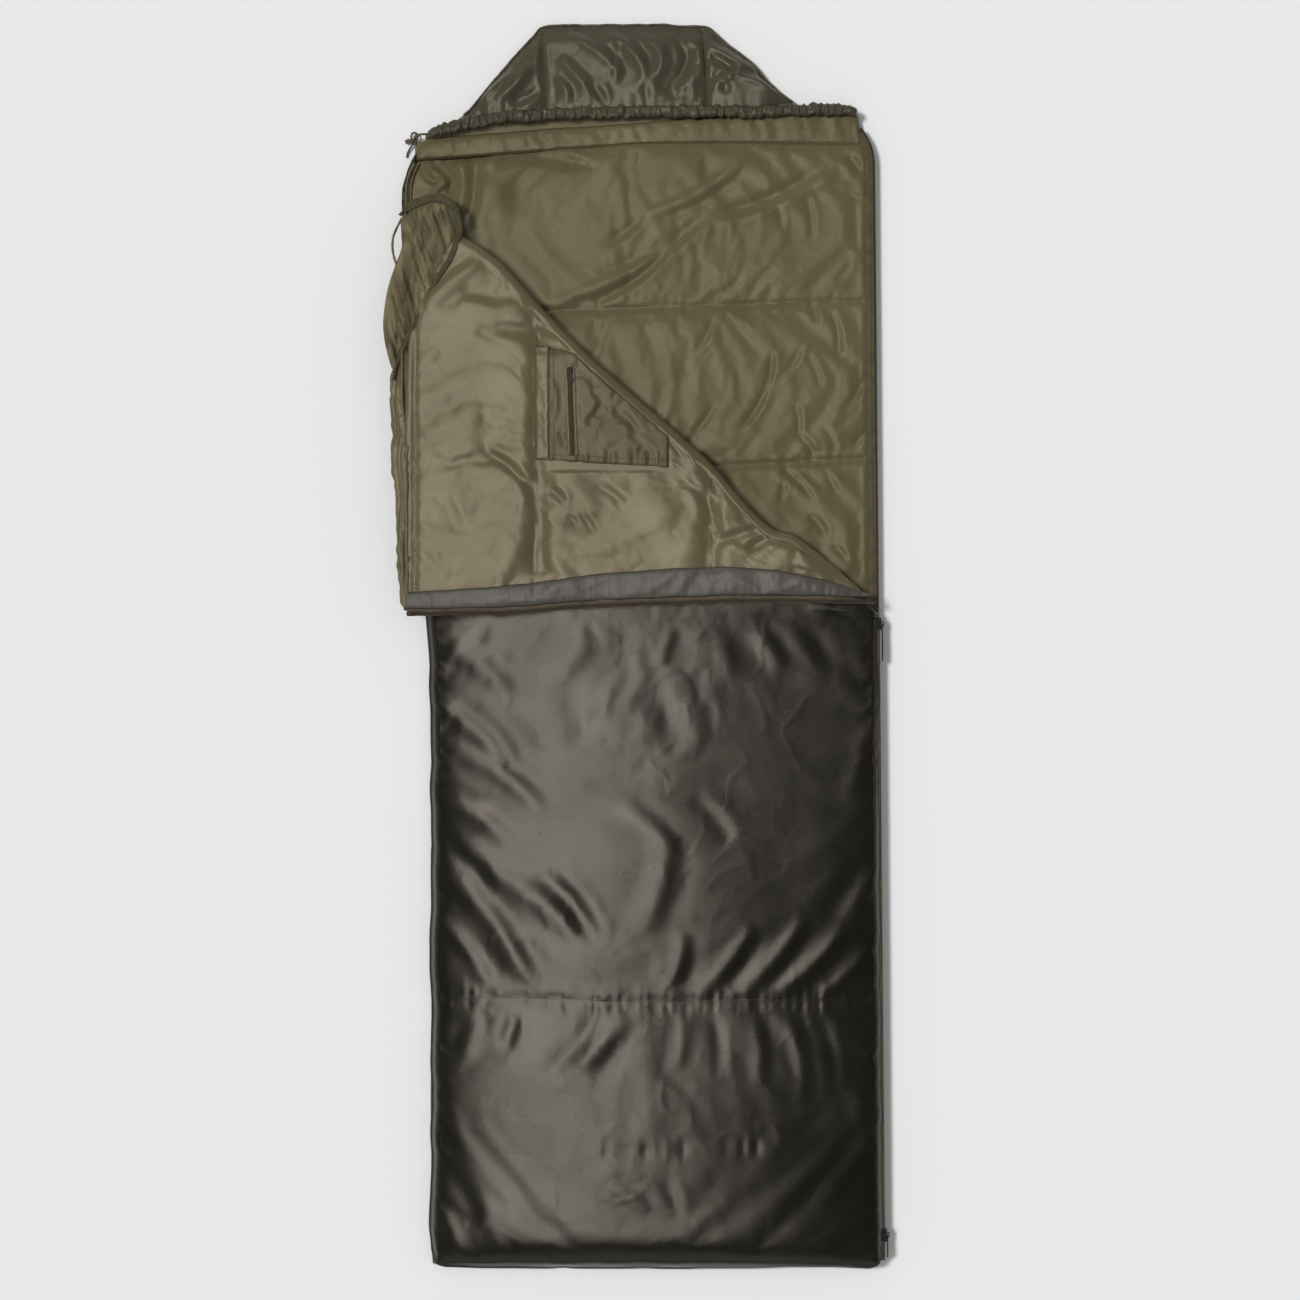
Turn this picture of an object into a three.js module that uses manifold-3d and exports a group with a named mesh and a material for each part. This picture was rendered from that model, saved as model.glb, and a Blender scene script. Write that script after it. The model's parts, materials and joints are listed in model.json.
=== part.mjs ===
// A rectangular hooded sleeping bag of the light bivouac kind, laid flat on its back. Its side zip is open over the
// upper half, and the upper corner of the front panel is folded back over the lower half, lining side up.
// Millimetres, +Z up, +Y towards the head. The origin is on the ground, under the middle of the back panel.
import * as THREE from "three";
import { mergeVertices } from "three/addons/utils/BufferGeometryUtils.js";
import Module from "manifold-3d";

const wasm = await Module();
wasm.setup();

// ---------------------------------------------------------------- driving dimensions
const GAP = 0.3; // between layers that touch
const FOOT_Y = -955; // foot end of the bag
const LEFT_X = -375; // left side at the foot
const LEFT_FLARE = 45; // the open upper half spreads this much to the left
const FLARE_FROM = -50;
const FLARE_TO = 650;
const CROSS_SEAM_Y = -506; // seam across the front shell
const NECK_SEAM_Y = 921; // seam of the neck facing
const EDGE_INSET = 3; // inner layers stop this far inside the outer edge
const WALL = 2.5; // side and foot wall thickness

const ZIP_X = 373; // zip line at y = 0
const ZIP_LEAN = -0.0086; // sideways drift of the zip line per millimetre
const ZIP_FOOT_Y = -932;
const ZIP_HEAD_Y = 944;
const ZIP_TO_QUILT = 12; // the quilted panels stop this far inside the zip line
const TAPE_IN = 20;
const TAPE_OUT = 2.5;
const COIL_WIDTH = 3.6;
const COIL_HEIGHT = 4.5;

const SHEET = 1; // one layer of fabric
const BATTING_BACK = 12.7;
const BATTING_FRONT = 14;
const CAVITY = 12; // free height between the back lining and the front lining

// Heights of the layers, from the ground up.
const backShell = [0, SHEET];
const backBatting = [backShell[1] + GAP, backShell[1] + GAP + BATTING_BACK];
const backLining = [backBatting[1] + GAP, backBatting[1] + GAP + SHEET];
const frontLining = [backLining[1] + CAVITY, backLining[1] + CAVITY + SHEET];
const frontBatting = [frontLining[1] + GAP, frontLining[1] + GAP + BATTING_FRONT];
const frontShell = [frontBatting[1] + GAP, frontBatting[1] + GAP + SHEET];
const FOLD_Z = frontShell[1] + 0.2; // the fold axis lies on the front shell
const backTape = [backLining[1] + GAP, backLining[1] + GAP + 0.8];
const frontTape = [frontLining[0] - 1, frontLining[0] - GAP];
const ZIP_MID_Z = (backTape[0] + frontTape[1]) / 2;
const draftTube = [frontTape[0] - GAP - 6, frontTape[0] - GAP];

const FOLD_Y = 147.7; // where the fold meets the zip
const FOLD_ANGLE = THREE.MathUtils.degToRad(43.7); // fold direction, up from -X
const FOLD_INSET = 14; // panels stop this far from the fold axis, which leaves room for the roll
const FLAP_LENGTH = 792; // along the zip edge, from the fold to the free corner
const HEM_X = 26; // from the free corner to the hem's stitching, along the zip edge
const HEM_WIDTH = 20;

const NECK_LEFT = new THREE.Vector2(-412, 912);
const NECK_RIGHT = new THREE.Vector2(360, 968);
const NECK_CLEAR = 2; // the back panel stops this far below the neck axis
const HOOD_CLEAR = 14; // the hood's layers start this far above it
const HOOD_FRONT_Z = 21.5;
const HOOD_FRONT_THICK = 8;
const CHANNEL_WIDTH = 18;
const CHANNEL_HEIGHT = 10;
const CORD_RADIUS = 1.75;
const CORD_BORE = 2.6;

const SLIDER_LENGTH = 20;
const MAIN_SLIDER_Y = 118; // along the zip line
const FOOT_SLIDER_Y = -901;

// ---------------------------------------------------------------- materials
const fabric = (color, roughness) => new THREE.MeshStandardMaterial({ color, roughness, metalness: 0 });
const SHELL = fabric(0x3f3c34, 0.42);
const LINING = fabric(0x6a6146, 0.5);
const BATTING = fabric(0xe6e4dc, 0.95);
const DRAFT = fabric(0x55524c, 0.5);
const TAPE = fabric(0x5a5040, 0.7);
const COIL = fabric(0x2c2923, 0.4);
const NET = fabric(0x605a44, 0.8);
const BINDING = fabric(0x58523c, 0.7);
const CORD = fabric(0x4a4536, 0.8);
const METAL = new THREE.MeshStandardMaterial({ color: 0x25231f, roughness: 0.35, metalness: 0.9 });
const PLASTIC = fabric(0x1c1b18, 0.5);

// ---------------------------------------------------------------- small tools
const bag = new THREE.Group();

function add(parent, name, geometry, material) {
  const mesh = new THREE.Mesh(geometry, material);
  mesh.name = name;
  parent.add(mesh);
  return mesh;
}

function outline(points) {
  return new THREE.Shape(points.map(([x, y]) => new THREE.Vector2(x, y)));
}

// A flat piece with square edges between two heights.
function sheet(shape, [low, high]) {
  const geometry = new THREE.ExtrudeGeometry(shape, { depth: high - low, bevelEnabled: false });
  return geometry.translate(0, 0, low);
}

// A padded piece: the same, with its edges rounded inside the outline.
function pad(shape, [low, high], round = 3) {
  const geometry = new THREE.ExtrudeGeometry(shape, {
    depth: high - low - 2 * round,
    bevelThickness: round,
    bevelSize: round,
    bevelOffset: -round,
    bevelSegments: 2,
  });
  return geometry.translate(0, 0, low + round);
}

// The line parallel to a polyline, at a distance to its left.
function parallel(points, distance) {
  return points.map((point, i) => {
    const before = points[Math.max(i - 1, 0)];
    const after = points[Math.min(i + 1, points.length - 1)];
    const length = Math.hypot(after[0] - before[0], after[1] - before[1]);
    const normal = [-(after[1] - before[1]) / length, (after[0] - before[0]) / length];
    return [point[0] + normal[0] * distance, point[1] + normal[1] * distance];
  });
}

// A ribbon that follows a polyline, from one distance to its left to another.
function ribbon(points, near, far) {
  return outline([...parallel(points, near), ...parallel(points, far).reverse()]);
}

function roundTube(points, radius, sides, steps) {
  const section = new THREE.Shape();
  section.absarc(0, 0, radius, 0, 2 * Math.PI);
  const extrudePath = new THREE.CatmullRomCurve3(points.map((p) => new THREE.Vector3(...p)));
  return new THREE.ExtrudeGeometry(section, { steps, curveSegments: sides, extrudePath });
}

function solid(geometry) {
  const bare = geometry.clone();
  bare.deleteAttribute("normal");
  bare.deleteAttribute("uv");
  const merged = mergeVertices(bare, 1e-4);
  return new wasm.Manifold(
    new wasm.Mesh({
      numProp: 3,
      vertProperties: new Float32Array(merged.attributes.position.array),
      triVerts: new Uint32Array(merged.index.array),
    }),
  );
}

function toGeometry(body) {
  const mesh = body.getMesh();
  const geometry = new THREE.BufferGeometry();
  geometry.setAttribute("position", new THREE.BufferAttribute(new Float32Array(mesh.vertProperties), 3));
  geometry.setIndex(new THREE.BufferAttribute(new Uint32Array(mesh.triVerts), 1));
  return geometry;
}

// ---------------------------------------------------------------- outlines of the bag's body
function leftX(y) {
  const t = THREE.MathUtils.smoothstep(y, FLARE_FROM, FLARE_TO);
  return LEFT_X - LEFT_FLARE * t;
}

const zipX = (y) => ZIP_X + ZIP_LEAN * y;
const quiltX = (y) => zipX(y) - ZIP_TO_QUILT;
const neckY = (x) => {
  const slope = (NECK_RIGHT.y - NECK_LEFT.y) / (NECK_RIGHT.x - NECK_LEFT.x);
  return NECK_LEFT.y + slope * (x - NECK_LEFT.x);
};
const foldX = (y, inset) => zipX(FOLD_Y) - (y - FOLD_Y) / Math.tan(FOLD_ANGLE) - inset / Math.sin(FOLD_ANGLE);

// The left edge, walked down from one height to another, with the same stations for every layer.
function leftEdge(fromY, toY, inset) {
  const pitch = 50;
  const ys = [fromY];
  for (let y = Math.ceil(fromY / pitch - 1) * pitch; y > toY; y -= pitch) {
    if (y > FLARE_FROM - pitch && y < FLARE_TO + pitch) ys.push(y);
  }
  ys.push(toY);
  return ys.map((y) => [leftX(y) + inset, y]);
}

// The two rounded corners at the foot, left to right.
function footCorners(inset) {
  const radius = 24;
  const foot = FOOT_Y + inset;
  const left = LEFT_X + inset;
  const right = quiltX(FOOT_Y) - inset;
  const corner = [];
  for (let i = 0; i <= 3; i++) {
    const a = (i / 3) * (Math.PI / 2);
    corner.push([radius * Math.cos(a), radius * Math.sin(a)]);
  }
  return [
    ...corner.map(([c, s]) => [left + radius - c, foot + radius - s]),
    ...corner.map(([c, s]) => [right - radius + s, foot + radius - c]),
  ];
}

function backOutline(inset) {
  const topLeft = neckY(NECK_LEFT.x) - NECK_CLEAR - inset;
  const topRight = neckY(quiltX(960)) - NECK_CLEAR - inset;
  return outline([
    ...leftEdge(topLeft - 90, FOOT_Y + 60, inset),
    ...footCorners(inset),
    [quiltX(topRight) - inset, topRight],
    [NECK_LEFT.x + 4 + inset, topLeft],
  ]);
}

const FRONT_TOP_Y = 800; // blunt end of the front panel beside the fold

function frontOutline(inset) {
  const low = FOLD_Y - FOLD_INSET / Math.cos(FOLD_ANGLE) - ZIP_TO_QUILT;
  return outline([
    ...leftEdge(FRONT_TOP_Y - inset, FOOT_Y + 60, inset),
    ...footCorners(inset),
    [quiltX(low) - inset, low],
    [foldX(FRONT_TOP_Y - inset, FOLD_INSET), FRONT_TOP_Y - inset],
  ]);
}

function frontShellUpperOutline() {
  const low = FOLD_Y - FOLD_INSET / Math.cos(FOLD_ANGLE) - ZIP_TO_QUILT;
  return outline([
    ...leftEdge(FRONT_TOP_Y, CROSS_SEAM_Y + GAP / 2, 0),
    [quiltX(CROSS_SEAM_Y), CROSS_SEAM_Y + GAP / 2],
    [quiltX(low), low],
    [foldX(FRONT_TOP_Y, FOLD_INSET), FRONT_TOP_Y],
  ]);
}

function frontShellLowerOutline() {
  const top = CROSS_SEAM_Y - GAP / 2;
  return outline([[leftX(top), top], ...footCorners(0), [quiltX(top), top]]);
}

// ---------------------------------------------------------------- back and front panels
function buildBody() {
  add(bag, "back_shell", sheet(backOutline(0), backShell), SHELL);
  add(bag, "back_insulation", pad(backOutline(EDGE_INSET), backBatting), BATTING);
  add(bag, "back_lining", sheet(backOutline(EDGE_INSET), backLining), LINING);

  add(bag, "front_lining", sheet(frontOutline(EDGE_INSET), frontLining), LINING);
  add(bag, "front_insulation", pad(frontOutline(EDGE_INSET), frontBatting), BATTING);
  add(bag, "front_shell_upper", sheet(frontShellUpperOutline(), frontShell), SHELL);
  add(bag, "front_shell_foot", sheet(frontShellLowerOutline(), frontShell), SHELL);

  const wall = [backShell[1] + GAP, frontBatting[1]];
  const side = leftEdge(FRONT_TOP_Y - EDGE_INSET, FOOT_Y + 30, 0);
  add(bag, "side_wall", sheet(ribbon(side, 0, WALL), wall), SHELL);
  const footLine = [
    [LEFT_X + 26, FOOT_Y],
    [quiltX(FOOT_Y) - 26, FOOT_Y],
  ];
  add(bag, "foot_wall", sheet(ribbon(footLine, 0, WALL), wall), SHELL);

  const facing = [backLining[1] + GAP, backLining[1] + GAP + 0.8];
  const facingLeft = NECK_LEFT.x + 22;
  const facingRight = quiltX(950) - 12;
  const facingOutline = outline([
    [facingLeft, neckY(facingLeft) - 30],
    [-120, NECK_SEAM_Y - 4],
    [facingRight - 60, NECK_SEAM_Y],
    [facingRight, NECK_SEAM_Y + 8],
    [facingRight, neckY(facingRight) - 6],
    [facingLeft, neckY(facingLeft) - 6],
  ]);
  add(bag, "neck_facing", sheet(facingOutline, facing), LINING);
}

// ---------------------------------------------------------------- zip parts, shared by the side zip and the pocket
// One row of zip coil along +Y, centred on its own axis.
function coil(length, width, height) {
  const geometry = new THREE.CylinderGeometry(0.5, 0.5, length, 10);
  return geometry.scale(width, 1, height);
}

// A slider whose mouth opens to -X, with an arch on its +X face that holds the pull. It is centred on the coil.
function sliderGeometry({ length, inner, plate, mouth, wall, face, arch }) {
  const half = inner / 2;
  const section = outline([
    [mouth, half],
    [wall, half],
    [wall, -half],
    [mouth, -half],
    [mouth, -half - plate],
    [face - plate, -half - plate],
    [face, -half],
    [face, half],
    [face - plate, half + plate],
    [mouth, half + plate],
  ]);
  const body = new THREE.ExtrudeGeometry(section, { depth: length, bevelEnabled: false });
  body.translate(0, 0, -length / 2).rotateX(Math.PI / 2);

  const hoop = outline([
    [face - 0.3, -arch.reach - arch.bar],
    [face + arch.rise, -arch.reach],
    [face + arch.rise, arch.reach],
    [face - 0.3, arch.reach + arch.bar],
    [face - 0.3, arch.reach],
    [face + arch.rise - arch.bar, arch.reach - arch.bar],
    [face + arch.rise - arch.bar, -arch.reach + arch.bar],
    [face - 0.3, -arch.reach],
  ]);
  const bridge = new THREE.ExtrudeGeometry(hoop, { depth: 2 * arch.half, bevelEnabled: false });
  bridge.translate(0, 0, -arch.half);
  return toGeometry(solid(body).add(solid(bridge)));
}

// The pull: a thin plate that hangs from the arch along -Y, with a window round the arch and a wider end.
function pullGeometry({ pivotX, thick, half, window, length, endHalf }) {
  const plate = outline([
    [-half, window.bar],
    [-half, -length * 0.45],
    [-endHalf, -length * 0.6],
    [-endHalf, -length + 2],
    [-endHalf + 2, -length],
    [endHalf - 2, -length],
    [endHalf, -length + 2],
    [endHalf, -length * 0.6],
    [half, -length * 0.45],
    [half, window.bar],
  ]);
  plate.holes.push(
    new THREE.Path([
      new THREE.Vector2(-window.half, -window.bar),
      new THREE.Vector2(window.half, -window.bar),
      new THREE.Vector2(window.half, -window.reach),
      new THREE.Vector2(-window.half, -window.reach),
    ]),
  );
  const geometry = new THREE.ExtrudeGeometry(plate, { depth: thick, bevelEnabled: false });
  return geometry.translate(0, 0, -thick / 2).rotateY(Math.PI / 2).translate(pivotX, 0, 0);
}

const SIDE_SLIDER = {
  length: SLIDER_LENGTH,
  inner: frontTape[1] - backTape[0] + 0.8,
  plate: 1.5,
  mouth: -5,
  wall: TAPE_OUT + 0.6,
  face: TAPE_OUT + 3,
  arch: { reach: 4, bar: 1.4, rise: 4.8, half: 1.5 },
};
const SIDE_PULL = {
  pivotX: SIDE_SLIDER.face + 1.7,
  thick: 1.4,
  half: 4,
  window: { bar: 0.8, half: 2.3, reach: 9 },
  endHalf: 5,
};

const POCKET_SLIDER = {
  length: 9,
  inner: 4,
  plate: 0.8,
  mouth: -0.8,
  wall: 1.2,
  face: 2,
  arch: { reach: 2.2, bar: 0.8, rise: 2.7, half: 0.9 },
};
const POCKET_PULL = {
  pivotX: POCKET_SLIDER.face + 1,
  thick: 0.8,
  half: 2.4,
  window: { bar: 0.45, half: 1.4, reach: 5.2 },
  length: 20,
  endHalf: 2.8,
};

// ---------------------------------------------------------------- side zip
function buildSideZip() {
  const zip = new THREE.Group(); // x = 0 is the zip line, y runs along it
  zip.position.set(ZIP_X, 0, 0);
  zip.rotation.z = -Math.atan(ZIP_LEAN);
  bag.add(zip);
  const closedTop = FOLD_Y - FOLD_INSET / Math.cos(FOLD_ANGLE) - 2;
  const tapeOutline = (bottom, top) =>
    outline([
      [-TAPE_IN, bottom],
      [TAPE_OUT, bottom],
      [TAPE_OUT, top],
      [-TAPE_IN, top],
    ]);

  add(zip, "zip_tape_back", sheet(tapeOutline(ZIP_FOOT_Y - 10, ZIP_HEAD_Y), backTape), TAPE);
  add(zip, "zip_tape_front", sheet(tapeOutline(ZIP_FOOT_Y - 10, closedTop), frontTape), TAPE);

  const backLength = ZIP_HEAD_Y - 6 - ZIP_FOOT_Y;
  const backCoil = add(zip, "zip_coil_back", coil(backLength, COIL_WIDTH, COIL_HEIGHT), COIL);
  backCoil.position.set(0, ZIP_FOOT_Y + backLength / 2, ZIP_MID_Z - GAP / 2 - COIL_HEIGHT / 2);
  const frontLength = closedTop - 2 - ZIP_FOOT_Y;
  const frontCoil = add(zip, "zip_coil_front", coil(frontLength, COIL_WIDTH, COIL_HEIGHT), COIL);
  frontCoil.position.set(0, ZIP_FOOT_Y + frontLength / 2, ZIP_MID_Z + GAP / 2 + COIL_HEIGHT / 2);

  const bottomStop = new THREE.BoxGeometry(4.4, 5, frontTape[0] - backTape[1] - 2 * GAP);
  add(zip, "zip_bottom_stop", bottomStop, METAL).position.set(0, ZIP_FOOT_Y - 3.5, ZIP_MID_Z);
  const topStop = new THREE.BoxGeometry(3.4, 4.5, COIL_HEIGHT);
  add(zip, "zip_top_stop_back", topStop, METAL).position.set(
    0,
    ZIP_HEAD_Y - 3,
    ZIP_MID_Z - GAP / 2 - COIL_HEIGHT / 2,
  );

  // The padded tube behind the zip, in the closed lower half.
  const tube = outline([
    [-56, ZIP_FOOT_Y],
    [-ZIP_TO_QUILT - 1, ZIP_FOOT_Y],
    [-ZIP_TO_QUILT - 1, closedTop - 30],
    [-56, closedTop - 30],
  ]);
  add(zip, "draft_tube_lower", pad(tube, draftTube, 1.5), DRAFT);

  const sliders = [
    ["main", MAIN_SLIDER_Y, 62],
    ["foot", FOOT_SLIDER_Y, 38],
  ];
  for (const [name, y, pullLength] of sliders) {
    add(zip, `${name}_zip_slider`, sliderGeometry(SIDE_SLIDER), METAL).position.set(0, y, ZIP_MID_Z);
    const pull = pullGeometry({ ...SIDE_PULL, length: pullLength });
    add(zip, `${name}_zip_pull`, pull, PLASTIC).position.set(0, y, ZIP_MID_Z);
  }
}

// ---------------------------------------------------------------- the folded-back corner of the front panel
// Its frame has the origin at the free corner of the zip edge, x along that edge to the fold, and y along the hem.
// z = 0 is the height of the fold axis, and the lining faces up.
function buildFlap() {
  const fold = new THREE.Vector2(-Math.cos(FOLD_ANGLE), Math.sin(FOLD_ANGLE));
  const zipRun = new THREE.Vector2(ZIP_LEAN, 1).normalize();
  const folded = fold.clone().multiplyScalar(2 * fold.dot(zipRun)).sub(zipRun); // the zip's direction once folded
  const beta = Math.acos(folded.dot(fold)); // angle between the zip edge and the fold
  const foldLine = (x, inset) => (FLAP_LENGTH - x) * Math.tan(beta) - inset / Math.cos(beta);

  const flap = new THREE.Group();
  flap.position.set(zipX(FOLD_Y) + FLAP_LENGTH * folded.x, FOLD_Y + FLAP_LENGTH * folded.y, FOLD_Z);
  flap.rotation.z = Math.atan2(-folded.y, -folded.x);
  bag.add(flap);

  // A layer's height here, from its height in the closed bag.
  const turned = ([low, high]) => [FOLD_Z - high, FOLD_Z - low];
  const shell = turned(frontShell);
  const batting = turned(frontBatting);
  const lining = turned(frontLining);
  const onLining = lining[1] + GAP;

  const hemLine = [
    [HEM_X, ZIP_TO_QUILT],
    [HEM_X, 300],
    [HEM_X + 7, 454],
    [62, 555],
    [105, 650],
  ];
  const panel = (inset) => {
    const hem = parallel(hemLine, -inset);
    return outline([
      ...hem.map(([x, y]) => [x, Math.max(y, ZIP_TO_QUILT + inset)]),
      [105 + inset, foldLine(105 + inset, FOLD_INSET)],
      [FLAP_LENGTH - (ZIP_TO_QUILT + inset + FOLD_INSET / Math.cos(beta)) / Math.tan(beta), ZIP_TO_QUILT + inset],
    ].reverse());
  };
  add(flap, "flap_shell", sheet(panel(0), shell), SHELL);
  add(flap, "flap_insulation", pad(panel(EDGE_INSET), batting), BATTING);
  add(flap, "flap_lining", sheet(panel(0), lining), LINING);

  const hemBottom = [
    [HEM_X - HEM_WIDTH + 14, 4],
    [HEM_X - HEM_WIDTH + 4, 12],
    [HEM_X - HEM_WIDTH, 26],
  ];
  const hemOuter = parallel(hemLine, HEM_WIDTH).slice(1);
  const hem = outline([[HEM_X - GAP, 4], ...parallel(hemLine, GAP).slice(1), ...hemOuter.reverse(), ...hemBottom.reverse()]);
  add(flap, "flap_hem", pad(hem, [shell[0], lining[1]], 4), LINING);

  const tape = turned(frontTape);
  const tapeEnd = FLAP_LENGTH - FOLD_INSET / Math.cos(beta) - 6;
  const tapeOutline = outline([
    [2, -TAPE_OUT],
    [tapeEnd, -TAPE_OUT],
    [tapeEnd - 18, TAPE_IN],
    [2, TAPE_IN],
  ]);
  add(flap, "flap_zip_tape", sheet(tapeOutline, tape), TAPE);
  const coilLength = tapeEnd - 14;
  const coilZ = FOLD_Z - (ZIP_MID_Z + GAP / 2 + COIL_HEIGHT / 2);
  const flapCoil = add(flap, "flap_zip_coil", coil(coilLength, COIL_WIDTH, COIL_HEIGHT), COIL);
  flapCoil.rotation.z = Math.PI / 2;
  flapCoil.position.set(10 + coilLength / 2, 0, coilZ);
  add(flap, "flap_zip_top_stop", new THREE.BoxGeometry(4.5, 3.4, COIL_HEIGHT), METAL).position.set(6.5, 0, coilZ);

  const tubeOutline = outline([
    [HEM_X + 4, ZIP_TO_QUILT + 1],
    [FLAP_LENGTH - 40, ZIP_TO_QUILT + 1],
    [FLAP_LENGTH - 80, 56],
    [HEM_X + 4, 56],
  ]);
  add(flap, "flap_draft_tube", pad(tubeOutline, turned(draftTube), 2), DRAFT);

  buildPocket(flap, onLining);
  buildNet(flap, onLining);
}

// ---------------------------------------------------------------- inner pocket, on the flap's lining
function buildPocket(flap, base) {
  const left = 236;
  const right = 453;
  const bottom = 262;
  const top = 440;
  const pouch = outline([
    [left, bottom],
    [right, bottom - 12],
    [right, 300],
    [left + 50, top],
    [left, top],
  ]);
  const pouchTop = base + 2;
  add(flap, "pocket_pouch", sheet(pouch, [base, pouchTop]), LINING);
  const welt = outline([
    [left, bottom + 2],
    [left + 23, bottom + 2],
    [left + 23, top - 2],
    [left, top - 2],
  ]);
  const layer = pouchTop + GAP;
  add(flap, "pocket_welt", sheet(welt, [layer, layer + 0.8]), LINING);

  const zipX0 = 296; // the pocket's zip line
  const zipLow = 272;
  const zipHigh = 414;
  const tape = outline([
    [zipX0 - 8, zipLow - 2],
    [zipX0 + 8, zipLow - 2],
    [zipX0 + 8, zipHigh + 2],
    [zipX0 - 8, zipHigh + 2],
  ]);
  add(flap, "pocket_zip_tape", sheet(tape, [layer, layer + 0.5]), TAPE);
  const coilHeight = 1.6;
  const coilZ = layer + 0.5 + GAP + coilHeight / 2;
  const length = zipHigh - zipLow;
  const row = add(flap, "pocket_zip_coil", coil(length, 3, coilHeight), COIL);
  row.position.set(zipX0, (zipLow + zipHigh) / 2, coilZ);

  const sliderGroup = new THREE.Group(); // turned so that the arch faces up
  sliderGroup.position.set(zipX0, zipHigh - 6, coilZ);
  sliderGroup.rotation.y = -Math.PI / 2;
  flap.add(sliderGroup);
  add(sliderGroup, "pocket_zip_slider", sliderGeometry(POCKET_SLIDER), METAL);
  add(sliderGroup, "pocket_zip_pull", pullGeometry(POCKET_PULL), METAL);
}

// ---------------------------------------------------------------- insect net, bunched along the flap's hem
function buildNet(flap, base) {
  const innerEdge = [
    [14, 215],
    [14, 288],
    [24, 404],
    [48, 519],
    [84, 593],
    [112, 634],
  ];
  const outerEdge = [
    [108, 676],
    [86, 690],
    [47, 680],
    [17, 645],
    [3, 554],
    [-2, 455],
    [0, 371],
    [2, 255],
    [2, 215],
  ];
  add(flap, "net_panel", pad(outline([...innerEdge, ...outerEdge]), [base, base + 10], 3), NET);
  const bindingLine = innerEdge.slice(2);
  add(flap, "net_binding", sheet(ribbon(bindingLine, -12, -GAP), [base, base + 2.5]), BINDING);
}

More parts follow.
